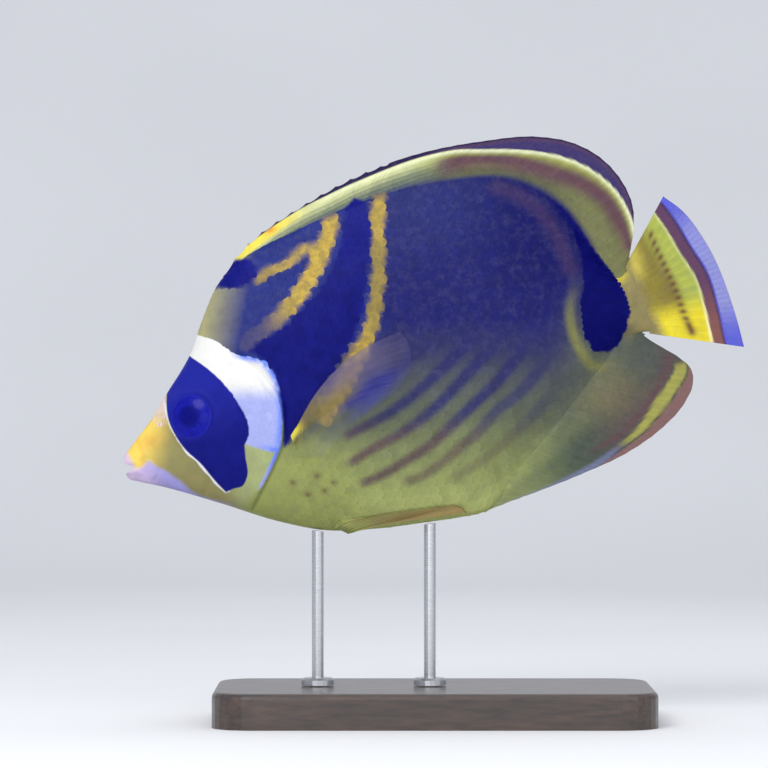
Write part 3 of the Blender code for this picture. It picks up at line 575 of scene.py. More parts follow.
class Piece:
    """A mesh piece on the body, made from points of the fish's frame."""

    def __init__(self, name, points, faces, slot, material, replaces=()):
        mesh = bpy.data.meshes.new(name)
        mesh.from_pydata(to_world(points).tolist(), [], [face.tolist() for face in faces])
        mesh.materials.append(material)
        mesh.shade_smooth()
        self.mesh = mesh
        piece = bpy.data.objects.new(name, mesh)
        bpy.context.scene.collection.objects.link(piece)
        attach(piece, "root")
        if replaces:
            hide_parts(*replaces)

    def value(self, name, values):
        """Keeps a number at each point for the material."""
        self.mesh.attributes.new(name, "FLOAT", "POINT").data.foreach_set("value", np.ravel(values))

    def colour(self, values):
        """Keeps a colour at each point for the material."""
        full = np.concatenate([values.reshape(-1, 3), np.ones((values.size // 3, 1))], axis=1)
        self.mesh.attributes.new("ground", "FLOAT_COLOR", "POINT").data.foreach_set("color", full.ravel())

    def unwrap(self, uv):
        """The map that the coat's colours are kept on, from a place for each point."""
        corners = np.empty(len(self.mesh.loops), np.int32)
        self.mesh.loops.foreach_get("vertex_index", corners)
        self.mesh.uv_layers.new(name="OFBake").data.foreach_set("uv", uv[corners].ravel())


def mix(under, over, amount):
    """One colour over another, by an amount at each point."""
    return under + (over - under) * np.asarray(amount)[..., None]


def layered(colour, *layers):
    """A colour under layers of paint, each a colour and its amount at each point."""
    for over, amount in layers:
        colour = mix(colour, over, amount)
    return colour


def ramp(at, stops):
    """A colour that runs smoothly from stop to stop, each a place and a colour."""
    colour = stops[0][1]
    for (start, _), (end, over) in zip(stops, stops[1:]):
        colour = mix(colour, over, np.clip((at - start) / (end - start), 0, 1))
    return colour


class Markings:
    """Everything that is painted on the fish, as values at places of the side view."""

    def __init__(self):
        self.mask, self.bar, self.band = Patch(MASK, 160), Patch(WHITE_BAR, 140), Patch(BAND, 180)
        self.spot, self.crescent = Patch(NAPE_SPOT, 60), Patch(CRESCENT, 150)
        self.yellows = [(Curve(points, 40), half, soft) for points, half, soft in YELLOW_LINES]
        self.stripes = [Curve(points, 24) for points in STRIPES]
        self.chin, self.rim, self.brown = (Curve(points, 40) for points in (CHIN_EDGE, RIM, BROWN_ARC))
        self.wedge = Patch(PALE_WEDGE, 60)

    def dark(self, x, z):
        """Positive on the navy marks. Each distance is divided by how soft that mark's edge is."""
        band = self.band.inside(x, z) / 0.8 - 4 * ease(44, 47, z)
        mask = self.mask.inside(x, z) / 0.25
        spot = self.spot.inside(x, z) / 0.9
        crescent = self.crescent.inside(x, z) / (0.35 + 0.9 * ease(15, 30, z)) - 1.3 * ease(26, 38, z)
        return np.maximum.reduce([band, mask, spot, crescent])

    def white(self, x, z):
        """Positive on the white bar and on the thin line along the front of the mask."""
        bar = self.bar.inside(x, z) / (0.25 + 0.5 * ease(-3, -7, z))
        from_mask = -self.mask.inside(x, z)
        width = 0.18 + 0.25 * ease(5, 12, z) + 0.12 * bump(z, -3.6, 1.6)
        width += 0.2 * bump(z, -8.6, 2.0) + 0.14 * bump(z, -13, 1.6)
        line = (width - np.abs(from_mask - width)) / 0.18
        strip = (0.45 - np.abs(GILL.distance(x, z) + 0.45)) / 0.3
        strip = strip + 6 * (ease(-21, -16, z) * ease(-3, -6, z) - 1)
        return np.maximum.reduce([bar, np.where(self.ahead(x, z), line, -9), np.where(x < 40, strip, -9)])

    def ahead(self, x, z):
        """Where the pale line along the front of the mask can be."""
        return (x < 24 - (z + 16) * 0.35) & (z < 14)

    def sky(self, x, z):
        """How blue the white bar is, at its scalloped rear edge."""
        inside = self.bar.inside(x, z)
        return ease(2.0, 0.2, inside) * ease(33, 38, x) * 0.85

    def light(self, x, z):
        """How far a navy mark goes from its deepest blue to the mask's."""
        band = 0.25 + 0.15 * ease(22, 46, z)
        mask = 0.4 + 0.6 * ease(-6, 16, z)
        return np.where(x < 80, band + (mask - band) * ease(37, 31, x), 0)

    def gold(self, x, z):
        """How yellow the arm, its branch, the line behind the band and the patch are, with a small painted
        highlight at the breast fin's upper root.
        """
        lines = [curve.line(x, z, half, soft) for curve, half, soft in self.yellows]
        lines[0] = lines[0] * (0.15 + 0.85 * ease(41, 54, x)) * ease(44.5, 42.5, z)
        lines[1] = lines[1] * 0.85
        lines[2] = lines[2] * ease(46.5, 43.5, z)
        lines[3] = lines[3] * 0.8
        patch = 0.9 * spot(x, z, (53.6, -2.6), 3.0, 2.6)
        fork = ease(1.3, 0.6, np.hypot((x - 62.6) / 2.8, (z - 35.6) / 2.6))
        # a painted highlight in yellow, where the breast fin's root meets the flank at its upper corner
        painted_glint = 1.2 * spot(x, z, (43.6, -7.4), spread=1.2)
        return np.clip(np.maximum.reduce([*lines, patch, fork, painted_glint]), 0, 1)

    def stripe(self, x, z):
        """How dark the slanting stripes of the lower flank and the spots of the breast are."""
        inks = [spot(x, z, place, spread=0.7) for place in BREAST_SPOTS]
        for curve, strength in zip(self.stripes, STRIPE_STRENGTH):
            away, _, share = curve.near(x, z)
            half = STRIPE_HALF * (0.7 + share)
            ends = ease(0, 0.06, share) * ease(1.05, 0.85, share)
            inks.append(strength * (1 - ease(half, half + STRIPE_SOFT, away)) * ends)
        return np.maximum.reduce(inks)

    def ground(self, x, z):
        """The body's colour under its crisp marks."""
        level = posed_height(x, z)
        behind = GILL.distance(x, z)
        from_rim, _, share = self.rim.near(x, z)
        nape = mix(NAPE_OLIVE, NAPE_SLATE, np.clip(((x - 26.5) - 0.5 * (z - 20)) / 11, 0, 1) ** 0.8)
        ink = mix(mix(STRIPE_BROWN, STRIPE_SLATE, ease(3, 13, level)), SPOT_BROWN, ease(51, 49, x))
        body = layered(
            ramp(level - 14 * ease(110, 126, x) - 1.5 * bump(x, 92, 24), LEVELS),
            (FLANK_HIGH, 0.8 * ease(18, 40, z)),
            (FLANK_DARK, 0.65 * ease(98, 116, x) * ease(0, 16, z)),
            (BREAST, ease(62, 46, x) * ease(9, -2, level)),
            (nape, ease(-2, 8, z - 0.25 * (x - 40)) * ease(76, 70, x)),
            (RIM_BROWN, 0.55 * ease(3.4, 0.2, self.brown.near(x, z)[0])),
            (RIM_OLIVE, 0.9 * ease(2.2, 0.2, from_rim) * ease(0, 0.5, share) * ease(1, 0.7, share)),
            (ink, 0.85 * self.stripe(x, z)),
            (STALK_TAN, ease(129, 135, x) * ease(-13, -7, z)),
            (TAIL_YELLOW, 0.9 * spot(x, z, (134.5, 8), spread=2)))
        face = layered(
            mix(SNOUT_YELLOW, SNOUT_OLIVE, ease(2, 13, x - 0.6 * (z + 3))),
            (ORANGE, 0.35 * spot(x, z, (7.6, 2.4), 3.6, 1.9)),
            # painted shade along the snout's crease, in a deeper orange
            (ORANGE, 0.25 * LIP_CREASE.line(x, z, 0, 0.9)),
            (PALE_PINK, ease(-0.5, 0.7, self.wedge.inside(x, z)) * (0.2 + 0.45 * ease(6, 10, z))),
            (COVER_GREEN, ease(20, 30, x) * ease(2, -6, z)),
            (nape, ease(13, 17, z)))
        chin = ease(0.6, -0.9, self.chin.distance(x, z)) * ease(25, 16, x) * (behind < 0)
        lips = ease(3.2, 1.5, x + 0.25 * np.abs(MOUTH.distance(x, z)))
        return layered(
            body,
            (face, ease(0.3, -0.1, behind)),
            (BREAST, bump(behind, -0.5, 1.6) * ease(-16, -20, z)),
            (mix(CHIN_PINK, CHIN, ease(3, 10, x)), chin),
            (LIP, 0.9 * lips))

    def paint(self, piece, x, z, ground=None, whole=None):
        """Keeps all of the marks at the piece's points, or at those of the whole scale a point is on."""
        whole_x, whole_z = whole or (x, z)
        piece.colour(self.ground(x, z) if ground is None else ground)
        piece.value("dark", self.dark(whole_x, whole_z))
        scalloped = (self.mask.inside(x, z) < -3) & (z > -6)
        piece.value("white", np.where(scalloped, self.white(whole_x, whole_z), self.white(x, z)))
        level = posed_height(x, z) + SNOUT_HEIGHT
        piece.value("pale", np.where(self.ahead(x, z), 0.75, ease(81.2, 86.8, level)))
        piece.value("sky", self.sky(x, z))
        piece.value("gold", self.gold(whole_x, whole_z))
        arm = ease(72, 68, x)
        piece.value("rich", 0.72 + 0.16 * arm - 0.4 * ease(42, 28, z) * (1 - arm) - 0.5 * ease(56, 44, x))
        piece.value("light", self.light(x, z))


MARKS = Markings()


class Tree:
    """A material's node tree, with short calls for the nodes that the fish needs."""

    def __init__(self, name):
        self.material = bpy.data.materials.new(name)
        self.material.use_nodes = True
        self.nodes, self.links = self.material.node_tree.nodes, self.material.node_tree.links
        self.shader = self.nodes["Principled BSDF"]

    def put(self, socket, value):
        """Links another node's output to the socket, or sets its number or colour."""
        if isinstance(value, bpy.types.NodeSocket):
            self.links.new(value, socket)
        elif hasattr(value, "__len__") and len(value) == 3 and socket.type == "RGBA":
            socket.default_value = (*value, 1)
        else:
            socket.default_value = value

    def add(self, kind, output=0, settings=None, **inputs):
        """Adds a node and gives one of its outputs. An input goes by its name, or by i and its number."""
        node = self.nodes.new("ShaderNode" + kind)
        for key, value in (settings or {}).items():
            setattr(node, key, value)
        for key, value in inputs.items():
            self.put(node.inputs[int(key[1:]) if key[0] == "i" and key[1:].isdigit() else key], value)
        return node.outputs[output]

    def math(self, operation, first, second):
        return self.add("Math", settings={"operation": operation}, i0=first, i1=second)

    def field(self, name):
        """A number kept at the mesh's points."""
        return self.add("Attribute", "Fac", {"attribute_name": name})

    def kept_colour(self):
        """The colour kept at the mesh's points."""
        return self.add("Attribute", "Color", {"attribute_name": "ground"})

    def step(self, value, low, high, bottom=0.0, top=1.0):
        """Goes smoothly from the bottom to the top while the value goes from low to high."""
        return self.add("MapRange", settings={"interpolation_type": "SMOOTHSTEP"}, Value=value,
                        **{"From Min": low, "From Max": high, "To Min": bottom, "To Max": top})

    def blend(self, amount, under, over, kind="MIX"):
        """One colour over another, by an amount."""
        node = self.nodes.new("ShaderNodeMix")
        node.data_type = "RGBA"
        node.blend_type = kind
        for index, value in ((0, amount), (6, under), (7, over)):
            self.put(node.inputs[index], value)
        return node.outputs[2]

    def noise(self, scale, detail=3.0, place=None, roughness=0.5):
        """Noise with bumps of 1 / scale metres, from 0 to 1."""
        place = place or self.add("TexCoord", "Object")
        return self.add("TexNoise", "Fac", Vector=place, Scale=scale, Detail=detail, Roughness=roughness)

    def speckle(self, scale, detail, low, high, bottom=0.0, top=1.0, roughness=0.5):
        """Noise that is stepped between two of its levels."""
        return self.step(self.noise(scale, detail, roughness=roughness), low, high, bottom, top)

    def bumps(self, height, strength, distance):
        """Small bumps for the light, from a height between 0 and 1."""
        return self.add("Bump", "Normal", Height=height, Strength=strength, Distance=distance)

    def finish(self, **inputs):
        """Sets the shader's sockets, named with a low line in the place of each blank."""
        for key, value in inputs.items():
            self.put(self.shader.inputs[key.replace("_", " ")], value)
        return self.material


def hide_material(name, roughness, clear=False, grain=900.0):
    """Painted skin, scales or fins: kept ground colour, with the marks laid over it."""
    tree = Tree(name)
    ragged = tree.math("MULTIPLY", tree.math("SUBTRACT", tree.noise(620, 2), 0.5), 0.9)
    dark = tree.math("ADD", tree.field("dark"), ragged)
    white = tree.math("ADD", tree.field("white"), tree.math("MULTIPLY", ragged, 1.4))
    colour = tree.blend(tree.speckle(260, 4, 0.35, 0.7, 0.0, 0.14), tree.kept_colour(), SPECKLE)
    colour = tree.blend(tree.speckle(520, 4, 0.42, 0.75, 0.0, 0.045, roughness=0.7), colour, BLOOM)
    rich = tree.math("MULTIPLY", tree.field("rich"), tree.speckle(500, 3, 0.35, 0.65, 0.6, 1.1))
    gold = tree.math("MULTIPLY", tree.field("gold"), tree.speckle(700, 2, 0.2, 0.45, 0.8, 1.0))
    colour = tree.blend(gold, colour, tree.blend(rich, GOLD_DEEP, GOLD))
    scallops = tree.add("TexVoronoi", "Distance", Vector=tree.add("TexCoord", "Object"), Scale=520.0)
    sky = tree.math("MULTIPLY", tree.field("sky"), tree.step(scallops, 0.1, 0.6, 0.6, 1.2))
    pale = tree.blend(sky, tree.blend(tree.field("pale"), WHITE_LOW, WHITE), SKY)
    colour = tree.blend(tree.step(white, -0.5, 0.5), colour, pale)
    light = tree.math("ADD", tree.field("light"), tree.speckle(300, 3, 0.3, 0.75, -0.06, 0.08))
    colour = tree.blend(tree.step(dark, -0.8, 0.8), colour, tree.blend(light, NAVY, MASK_BLUE))
    # tone lightens or darkens each point: the scales' random differences, and the painted sheen on their
    # free edges
    colour = tree.blend(1.0, colour, tree.math("ADD", tree.field("tone"), 1.0), "MULTIPLY")
    extra = {"Alpha": tree.field("alpha")} if clear else {}
    grit = tree.speckle(grain * 4, 3, 0.2, 0.8, roughness - 0.08, roughness + 0.1)
    return tree.finish(Base_Color=colour, Roughness=grit, Specular_IOR_Level=0.06, IOR=1.42,
                       Normal=tree.bumps(tree.noise(grain, 3), 0.5, GRAIN_DEPTH), **extra)


def skin_grid():
    """Shares and heights of the skin's points: the front follows the lips, one column the gill cover."""
    heights = np.sin(np.linspace(-math.pi / 2, math.pi / 2, SKIN_POINTS))
    fine = np.linspace(0, 0.08, 240)
    x, z, _ = body_point(fine[:, None], heights[None, :], -COAT)
    from_line = np.abs(z - np.interp(x, MOUTH.points[:, 0], MOUTH.points[:, 1]))
    lip_x = MOUTH_CORNER - MOUTH_SLOPE * np.clip(from_line / MOUTH_HALF, 0, 1) ** 0.8
    past = (x >= lip_x) | (from_line > MOUTH_HALF)
    front = fine[np.argmax(past, axis=0)]
    reach = np.linspace(0.1, 0.5, 400)
    x, z, _ = body_point(reach[:, None], heights[None, :], -COAT)
    gill = reach[np.argmax(GILL.distance(x, z) > 0, axis=0)]
    kernel = np.ones(5) / 5
    gill[2:-2] = np.convolve(gill, kernel, "valid")
    head = spaced(SKIN_POINTS, lambda t: 1 + 3 * bump(t, 0, 0.08) + 3.5 * bump(t, 1, 0.012))
    rear = spaced(SKIN_POINTS, lambda t: 1 + 5 * bump(t, 0, 0.012))[1:]
    shares = np.concatenate([front + (gill - front) * head[:, None], gill + (1 - gill) * rear[:, None]])
    return shares, np.broadcast_to(heights, shares.shape)


def mouth_lining(ring, middle):
    """Rings that turn in behind the lips and narrow to the back of the mouth, from the back to the lips."""
    rings = []
    for inward, narrower, closed in reversed(MOUTH_RINGS):
        lined = ring.copy()
        lined[:, 0] += inward
        lined[:, 1] *= narrower
        lined[:, 2] += (middle - ring[:, 2]) * closed
        rings.append(lined)
    return rings


def make_skin():
    """One skin over head, jaw, trunk and tail stalk, closed behind the lips and at the tail."""
    shares, heights = skin_grid()
    right, left = skin_at(shares, heights, 1), skin_at(shares, heights, -1)
    around = np.concatenate([right, left[:, -2:0:-1]], axis=1)
    around[:, [0, right.shape[1] - 1], 1] = 0
    lining = mouth_lining(around[0], np.interp(MOUTH_CORNER, MOUTH.points[:, 0], MOUTH.points[:, 1]))
    rings = np.concatenate([np.stack(lining), around])
    count, width = rings.shape[:2]
    points = np.concatenate([rings.reshape(-1, 3), rings[[0, -1]].mean(axis=1)])
    faces = facing_out(points, grid_faces(count, width, wrap=True))
    turned = faces[0, 0] != 0
    faces = [*faces]
    for centre, start, front in ((count * width, 0, True), (count * width + 1, (count - 1) * width, False)):
        fan = fan_faces(start, width, centre)
        faces += [*(fan[:, ::-1] if front != turned else fan)]
    piece = Piece("skin", points, faces, "skin_body", hide_material("fish_skin", 0.42),
                  ("head", "lower_jaw", "trunk", "tail_stalk"))
    x, z = points[:, 0], points[:, 2]
    lined = np.zeros(len(points))
    lined[: len(lining) * width] = 1
    lined[count * width] = 1
    # the mouth's lining is painted dark, as the shade inside the mouth
    MARKS.paint(piece, x, z, mix(MARKS.ground(x, z), MOUTH_SHADE, lined))
    piece.value("tone", np.zeros(len(points)))


def scale_size(x):
    """Height of a scale at this distance from the snout."""
    return np.interp(x, SCALE_SIZE_AT, SCALE_SIZE)


def scale_roots():
    """Shares, heights and sizes of the scales, in slanting rows whose columns are set half a row off."""
    roots = []
    heights = np.linspace(-1, 1, 401)
    x, column = SCALES_FROM, 0
    while x < SCALES_TO:
        share = (BACK.share_at(x) + BELLY.share_at(x)) / 2
        for _ in range(6):
            low, high = BELLY.at(share), BACK.at(share)
            share = float(np.clip(share + (x - (low[0] + high[0]) / 2) / 165, 0.002, 0.998))
        px, pz, half = body_point(share, heights, -COAT)
        arc = np.concatenate([[0], np.cumsum(np.hypot(np.diff(half), np.hypot(np.diff(px), np.diff(pz))))])
        arc -= np.interp(0, heights, arc)
        size = float(scale_size(x))
        slant = SCALE_TILT * (x - 80)
        rows = np.arange(-60, 61) + 0.5 * (column % 2)
        at = slant + rows * size
        at = at[(at > arc[0] + 0.3 * size) & (at < arc[-1] - 0.3 * size)]
        for height in np.interp(at, arc, heights):
            roots.append((share, height, size))
        x += SCALE_STEP * size
        column += 1
    return np.array(roots)


def scale_shape():
    """Where the points of one scale lie: rearwards and sideways, as shares of its size."""
    a, b = np.meshgrid(np.linspace(0, 1, SCALE_POINTS), np.linspace(-1, 1, SCALE_POINTS), indexing="ij")
    return a * (1 - 0.26 * a * b**2), b * (0.62 - 0.10 * (1 - a) ** 2), a, b


def patch_faces(count):
    """Faces of many scales: each a small grid, with a rim of its own down into the skin."""
    grid = np.arange(SCALE_POINTS**2).reshape(SCALE_POINTS, SCALE_POINTS)
    border = np.concatenate([grid[:, 0], grid[-1, 1:], grid[-2::-1, -1]])
    upper = grid.size + np.arange(len(border))
    lower = upper + len(border)
    sides = np.stack([upper[:-1], lower[:-1], lower[1:], upper[1:]], axis=1)
    one = np.concatenate([grid_faces(SCALE_POINTS, SCALE_POINTS), sides])
    size = grid.size + 2 * len(border)
    return (one[None] + (np.arange(count) * size)[:, None, None]).reshape(-1, 4), border


def lay_scales(surface, roots, side, turn, length, lift):
    """Points of scales on a surface of two parameters, and what each point needs to be painted.

    surface(p, q) gives points. Its first parameter runs rearwards and its second away from the turn's zero.
    """
    p, q, size = roots.T
    step = 1e-3
    along_p = (surface(p + step, q) - surface(p - step, q)) / (2 * step)
    along_q = (surface(p, q + step) - surface(p, q - step)) / (2 * step)
    normal = np.cross(along_p, along_q)
    normal *= (side * np.sign(normal[:, 1:2])) / np.linalg.norm(normal, axis=1, keepdims=True)
    angle = (turn + RANDOM.normal(0, UNEVEN_TURN, len(p)))[:, None]
    unit_p = along_p / np.linalg.norm(along_p, axis=1, keepdims=True)
    unit_q = np.cross(normal, unit_p)
    unit_q *= np.sign((unit_q * along_q).sum(axis=1, keepdims=True))

    def parameters(direction):
        """The change of both parameters that moves a point one millimetre in a direction."""
        pairs = ((along_p, along_p), (along_q, along_q), (along_p, along_q))
        pp, qq, pq = ((u * v).sum(axis=1) for u, v in pairs)
        dp, dq = (direction * along_p).sum(axis=1), (direction * along_q).sum(axis=1)
        scale = pp * qq - pq**2
        return [(d / scale)[:, None, None] for d in (dp * qq - dq * pq, dq * pp - dp * pq)]

    rear_p, rear_q = parameters(unit_p * np.cos(angle) + unit_q * np.sin(angle))
    up_p, up_q = parameters(unit_q * np.cos(angle) - unit_p * np.sin(angle))
    rear, wide, a, b = scale_shape()
    size = size * RANDOM.normal(1, UNEVEN_SIZE, len(p))
    rear, wide = rear[None] * (length * size)[:, None, None], wide[None] * size[:, None, None]
    pp = p[:, None, None] + rear * rear_p + wide * up_p
    qq = q[:, None, None] + rear * rear_q + wide * up_q
    points = surface(pp, qq)
    height = -0.3 + 1.3 * a[None] ** 1.15 - 0.18 * b[None] ** 2
    height = lift * np.minimum(size / 1.8, 1)[:, None, None] * height
    top = (points + normal[:, None, None, :] * height[..., None]).reshape(len(p), -1, 3)
    faces, border = patch_faces(len(p))
    sunk = points.reshape(len(p), -1, 3)[:, border] - normal[:, None, :] * SCALE_SUNK
    every = np.concatenate([top, top[:, border], sunk], axis=1)
    kept = np.concatenate([np.arange(a.size), border, border])
    near = SCALE_IN_MAP * np.stack([a, b / 2], axis=-1).reshape(-1, 2)[kept]
    places = [grid.reshape(len(p), -1)[:, kept] for grid in (pp, qq)]
    # the points on a scale's free edge, which get a painted sheen
    free = (np.maximum(a, np.abs(b)).ravel() > 0.99) & (a.ravel() > 0.3)
    return every, faces, near, places, np.concatenate([free, np.ones(2 * len(border))])


def scales_piece(name, surface, roots, side, slot, material, place, ground=None, turn=math.radians(8),
                 length=SCALE_LENGTH, lift=0.13):
    """A coat of scales, painted partly as a whole scale and partly point by point."""
    points, faces, near, places, rim = lay_scales(surface, roots, side, turn, length, lift)
    flat = points.reshape(-1, 3)
    a, b, c = (flat[faces[:, k]] for k in (0, 1, 2))
    if (np.cross(b - a, c - a)[:, 1] * side).sum() < 0:
        faces = faces[:, ::-1]
    piece = Piece(name, flat, faces, slot, material)
    x, z = points[..., 0], points[..., 2]
    middle = points.mean(axis=1)
    share = 0.42 * ease(26, 40, x)
    whole = tuple((share * middle[:, None, k] + (1 - share) * points[..., k]).ravel() for k in (0, 2))
    shade = None if ground is None else ground(*places, x, z).reshape(-1, 3)
    MARKS.paint(piece, x.ravel(), z.ravel(), shade, whole)
    uneven = RANDOM.normal(0, UNEVEN_TONE, len(points))[:, None]
    # tone: random differences between scales, plus a painted sheen along each scale's free edge
    piece.value("tone", uneven * ease(20, 46, x) + EDGE_SHEEN * rim * ease(20, 50, x))
    root = np.stack(place(roots[:, 0], roots[:, 1]), axis=-1)
    piece.unwrap((root[:, None, :] + near[None]).reshape(-1, 2))


def make_coat():
    """The scales of both flanks, left bare on the lips, the eyes and the gill slit."""
    roots = scale_roots()
    here = skin_at(roots[:, 0], roots[:, 1])
    x, z = here[:, 0], here[:, 2]
    behind = GILL.distance(x, z)
    room = np.where((behind < 0) & (z < 24), (-behind - 0.25) / roots[:, 2], 9)
    clear = np.hypot(x - EYE[0], z - EYE[1]) > 7.3
    clear &= ((behind > 0.1) | (room > 0.7)) & (x > 12) & (np.abs(roots[:, 1]) < 0.995)
    roots, room = roots[clear], room[clear]
    lift = 0.04 + 0.1 * ease(24, 50, x[clear])[:, None, None]
    material = hide_material("fish_scales", 0.4, grain=1500.0)
    for word, side in SIDES:
        def place(share, height, side=side):
            """The unwrap: length one way, girth the other, one flank over the other."""
            return 0.02 + 0.94 * share, 0.25 + (0 if side < 0 else 0.5) + 0.22 * height

        scales_piece(f"scales_{word}", lambda p, q, s=side: skin_at(p, np.clip(q, -1, 1), s), roots, side,
                     "skin_body", material, place, length=np.minimum(room, SCALE_LENGTH), lift=lift)
    return material


def ray_ridge(u, v, split):
    """Height of the rays' ridges, from 0 to 1. Soft rays split in two, and again nearer the tip."""
    beside = u - np.round(u)
    fork = RAY_SPREAD * ease(split, 1, v)
    second = 0.5 * RAY_SPREAD * ease(split + 0.3, 1.15, v)
    width = 0.12 - 0.04 * v
    return np.maximum.reduce([bump(beside, i * fork + k * second, width) for i in (-1, 1) for k in (-1, 1)])


def shaded_between_rays(colour, u, v, amount, split=0.35, shade=0.75):
    """A fin's colour, darker between its rays: painted shade in the furrows between the rays' ridges."""
    return mix(colour, colour * shade, amount * (1 - ray_ridge(u, v, split)))


class Fin:
    """A fin's middle sheet and its thickness, as one closed body of two fine grids."""

    def __init__(self, place, thickness, columns, rows):
        self.place, self.thick = place, thickness
        self.u, self.v = np.meshgrid(columns, rows, indexing="ij")
        self.middle = place(self.u, self.v)

    def both_faces(self):
        """Points of the fin's two faces, half its thickness off the middle sheet."""
        run_u, run_v = (np.gradient(self.middle, axis=k) for k in (0, 1))
        normal = np.cross(run_u, run_v)
        normal /= np.maximum(np.linalg.norm(normal, axis=-1, keepdims=True), 1e-9)
        normal *= np.sign(normal[..., 1:2].mean())
        offset = normal * self.thick(self.u, self.v)[..., None] / 2
        return np.stack([self.middle - offset, self.middle + offset])

    def piece(self, name, slot, material, replaces, ground, alpha, marked=True):
        """The fin's mesh, painted."""
        columns, rows = self.u.shape
        count = columns * rows
        points = self.both_faces().reshape(-1, 3)
        quads = grid_faces(columns, rows)
        grid = np.arange(count).reshape(columns, rows)
        rim = np.concatenate([grid[:, 0], grid[-1, 1:], grid[-2::-1, -1], grid[0, -2::-1]])
        sides = np.stack([rim[:-1], rim[1:], rim[1:] + count, rim[:-1] + count], axis=1)
        faces = np.concatenate([quads[:, ::-1], quads + count, sides])
        piece = Piece(name, points, facing_out(points, faces), slot, material, replaces)
        x, z = self.middle[..., 0], self.middle[..., 2]

        def twice(values):
            return np.concatenate([values.reshape(count, -1)] * 2)

        shade = twice(ground(self.u, self.v, x, z))
        if marked:
            MARKS.paint(piece, *(np.ravel(twice(a)) for a in (x, z)), shade)
        else:
            piece.colour(shade)
            for field, blank in UNMARKED.items():
                piece.value(field, np.full(2 * count, blank))
        piece.value("alpha", twice(alpha(self.u, self.v, x, z)))
        piece.value("tone", np.zeros(2 * count))

    def scales(self, name, slot, material, ground, laid, turn=math.radians(30), rearward_v=False):
        """Small scales over the fin's root on both faces. rearward_v is for rays that run rearwards."""
        size, reach, corner = laid
        first, last = self.u.min(), self.u.max()
        fine = np.linspace(first, last, 400)
        arc = lengths(self.place(fine, np.full(len(fine), 0.3)))
        margin = 0.6 * size
        roots = []
        for k, u in enumerate(np.interp(np.arange(margin, arc[-1] - margin, 0.9 * size), arc, fine)):
            ends = self.place(np.array([u, u]), np.array([0.0, 1.0]))
            tall = np.linalg.norm(ends[1] - ends[0])
            v = (0.5 + 0.5 * size * (k % 2)) / tall
            while v < reach - (size / tall):
                here = size * (1 - 0.4 * v / reach)
                roots.append((v, u, here) if rearward_v else (u, v, here))
                v += 0.95 * here / tall
        roots = np.array(roots)

        def in_order(p, q):
            return (q, p) if rearward_v else (p, q)

        def shade(p, q, x, z):
            return ground(*in_order(p, q), x, z)

        for word, side in SIDES:
            def face(p, q, side=side):
                u, v = in_order(p, q)
                return self.place(u, v) + np.stack([0 * u, side * self.thick(u, v) / 2, 0 * u], axis=-1)

            def place(p, q, side=side):
                u, v = in_order(p, q)
                along = (u - first) / (last - first)
                return corner[0] + 0.2 * along, corner[1] + 0.02 * (side > 0) + 0.016 * v

            scales_piece(f"{name}_{word}", face, roots, side, slot, material, place, shade, turn,
                         FIN_SCALE_LENGTH, FIN_SCALE_LIFT)


def midline_place(edge, side, span, margin, sweep, total, spines, notch=0.7):
    """The middle sheet of the back or anal fin, by ray number and share from root to tip."""
    start, end = edge.share_at(span[0]), edge.share_at(span[1])
    margin = Curve(margin)

    def place(u, v):
        share = u / total
        root = edge.beside(start + (end - start) * share, -side * FIN_SUNK)
        tip = margin.at(share + sweep * np.sin(np.pi * np.clip(share, 0, 1)) ** 0.6)
        run = tip - root
        reach = np.linalg.norm(run, axis=-1)
        between = np.sin(np.pi * (u - np.floor(u))) ** 0.7
        dip = np.where(u < spines - 0.5, notch * between, 0.12 * between)
        dip = np.minimum(dip, 0.2 * reach)
        flat = root + run * (v * (1 - dip / reach))[..., None]
        bend = np.stack([run[..., 1], -run[..., 0]], axis=-1) / reach[..., None]
        flat = flat - side * bend * (0.02 * reach * 4 * v * (1 - v) * (u > spines - 0.5))[..., None]
        return np.stack([flat[..., 0], np.zeros_like(v), flat[..., 1]], axis=-1)

    return place


def fin_thickness(root, ray, edge, spines=0, buried=0.2, grown=FIN_FILLET):
    """Thickness of a scaly, thinning fin with ridges along its rays."""
    def thickness(u, v):
        soft = ray_ridge(u, v, 0.35) * ray * (1 - 0.6 * v)
        hard = SPINE_RIDGE * bump(u - np.round(u), 0, 0.09) * (1 - 0.75 * v) * ease(0.35, 0.8, v)
        sheet = edge + (root - edge) * (1 - v) ** 2.2 + grown * bump(v, 0, 0.2)
        emerging = buried + (1 - buried) * ease(0, 0.16, v)
        return sheet * emerging + np.where(u < spines - 0.5, hard, soft)
    return thickness


BACK_BROWN, BACK_CLEAR = Curve(BACK_FIN_BROWN, 50), Curve(BACK_FIN_CLEAR, 90)
BACK_TIPS = Curve(BACK_FIN_MARGIN, 90)
ANAL_RIM, ANAL_LINE = Curve(ANAL_CLEAR, 70), Curve(ANAL_BROWN, 40)
TAIL_BAND, DOTS = Curve(TAIL_BROWN_INNER, 60), Curve(TAIL_DOTS, 40)


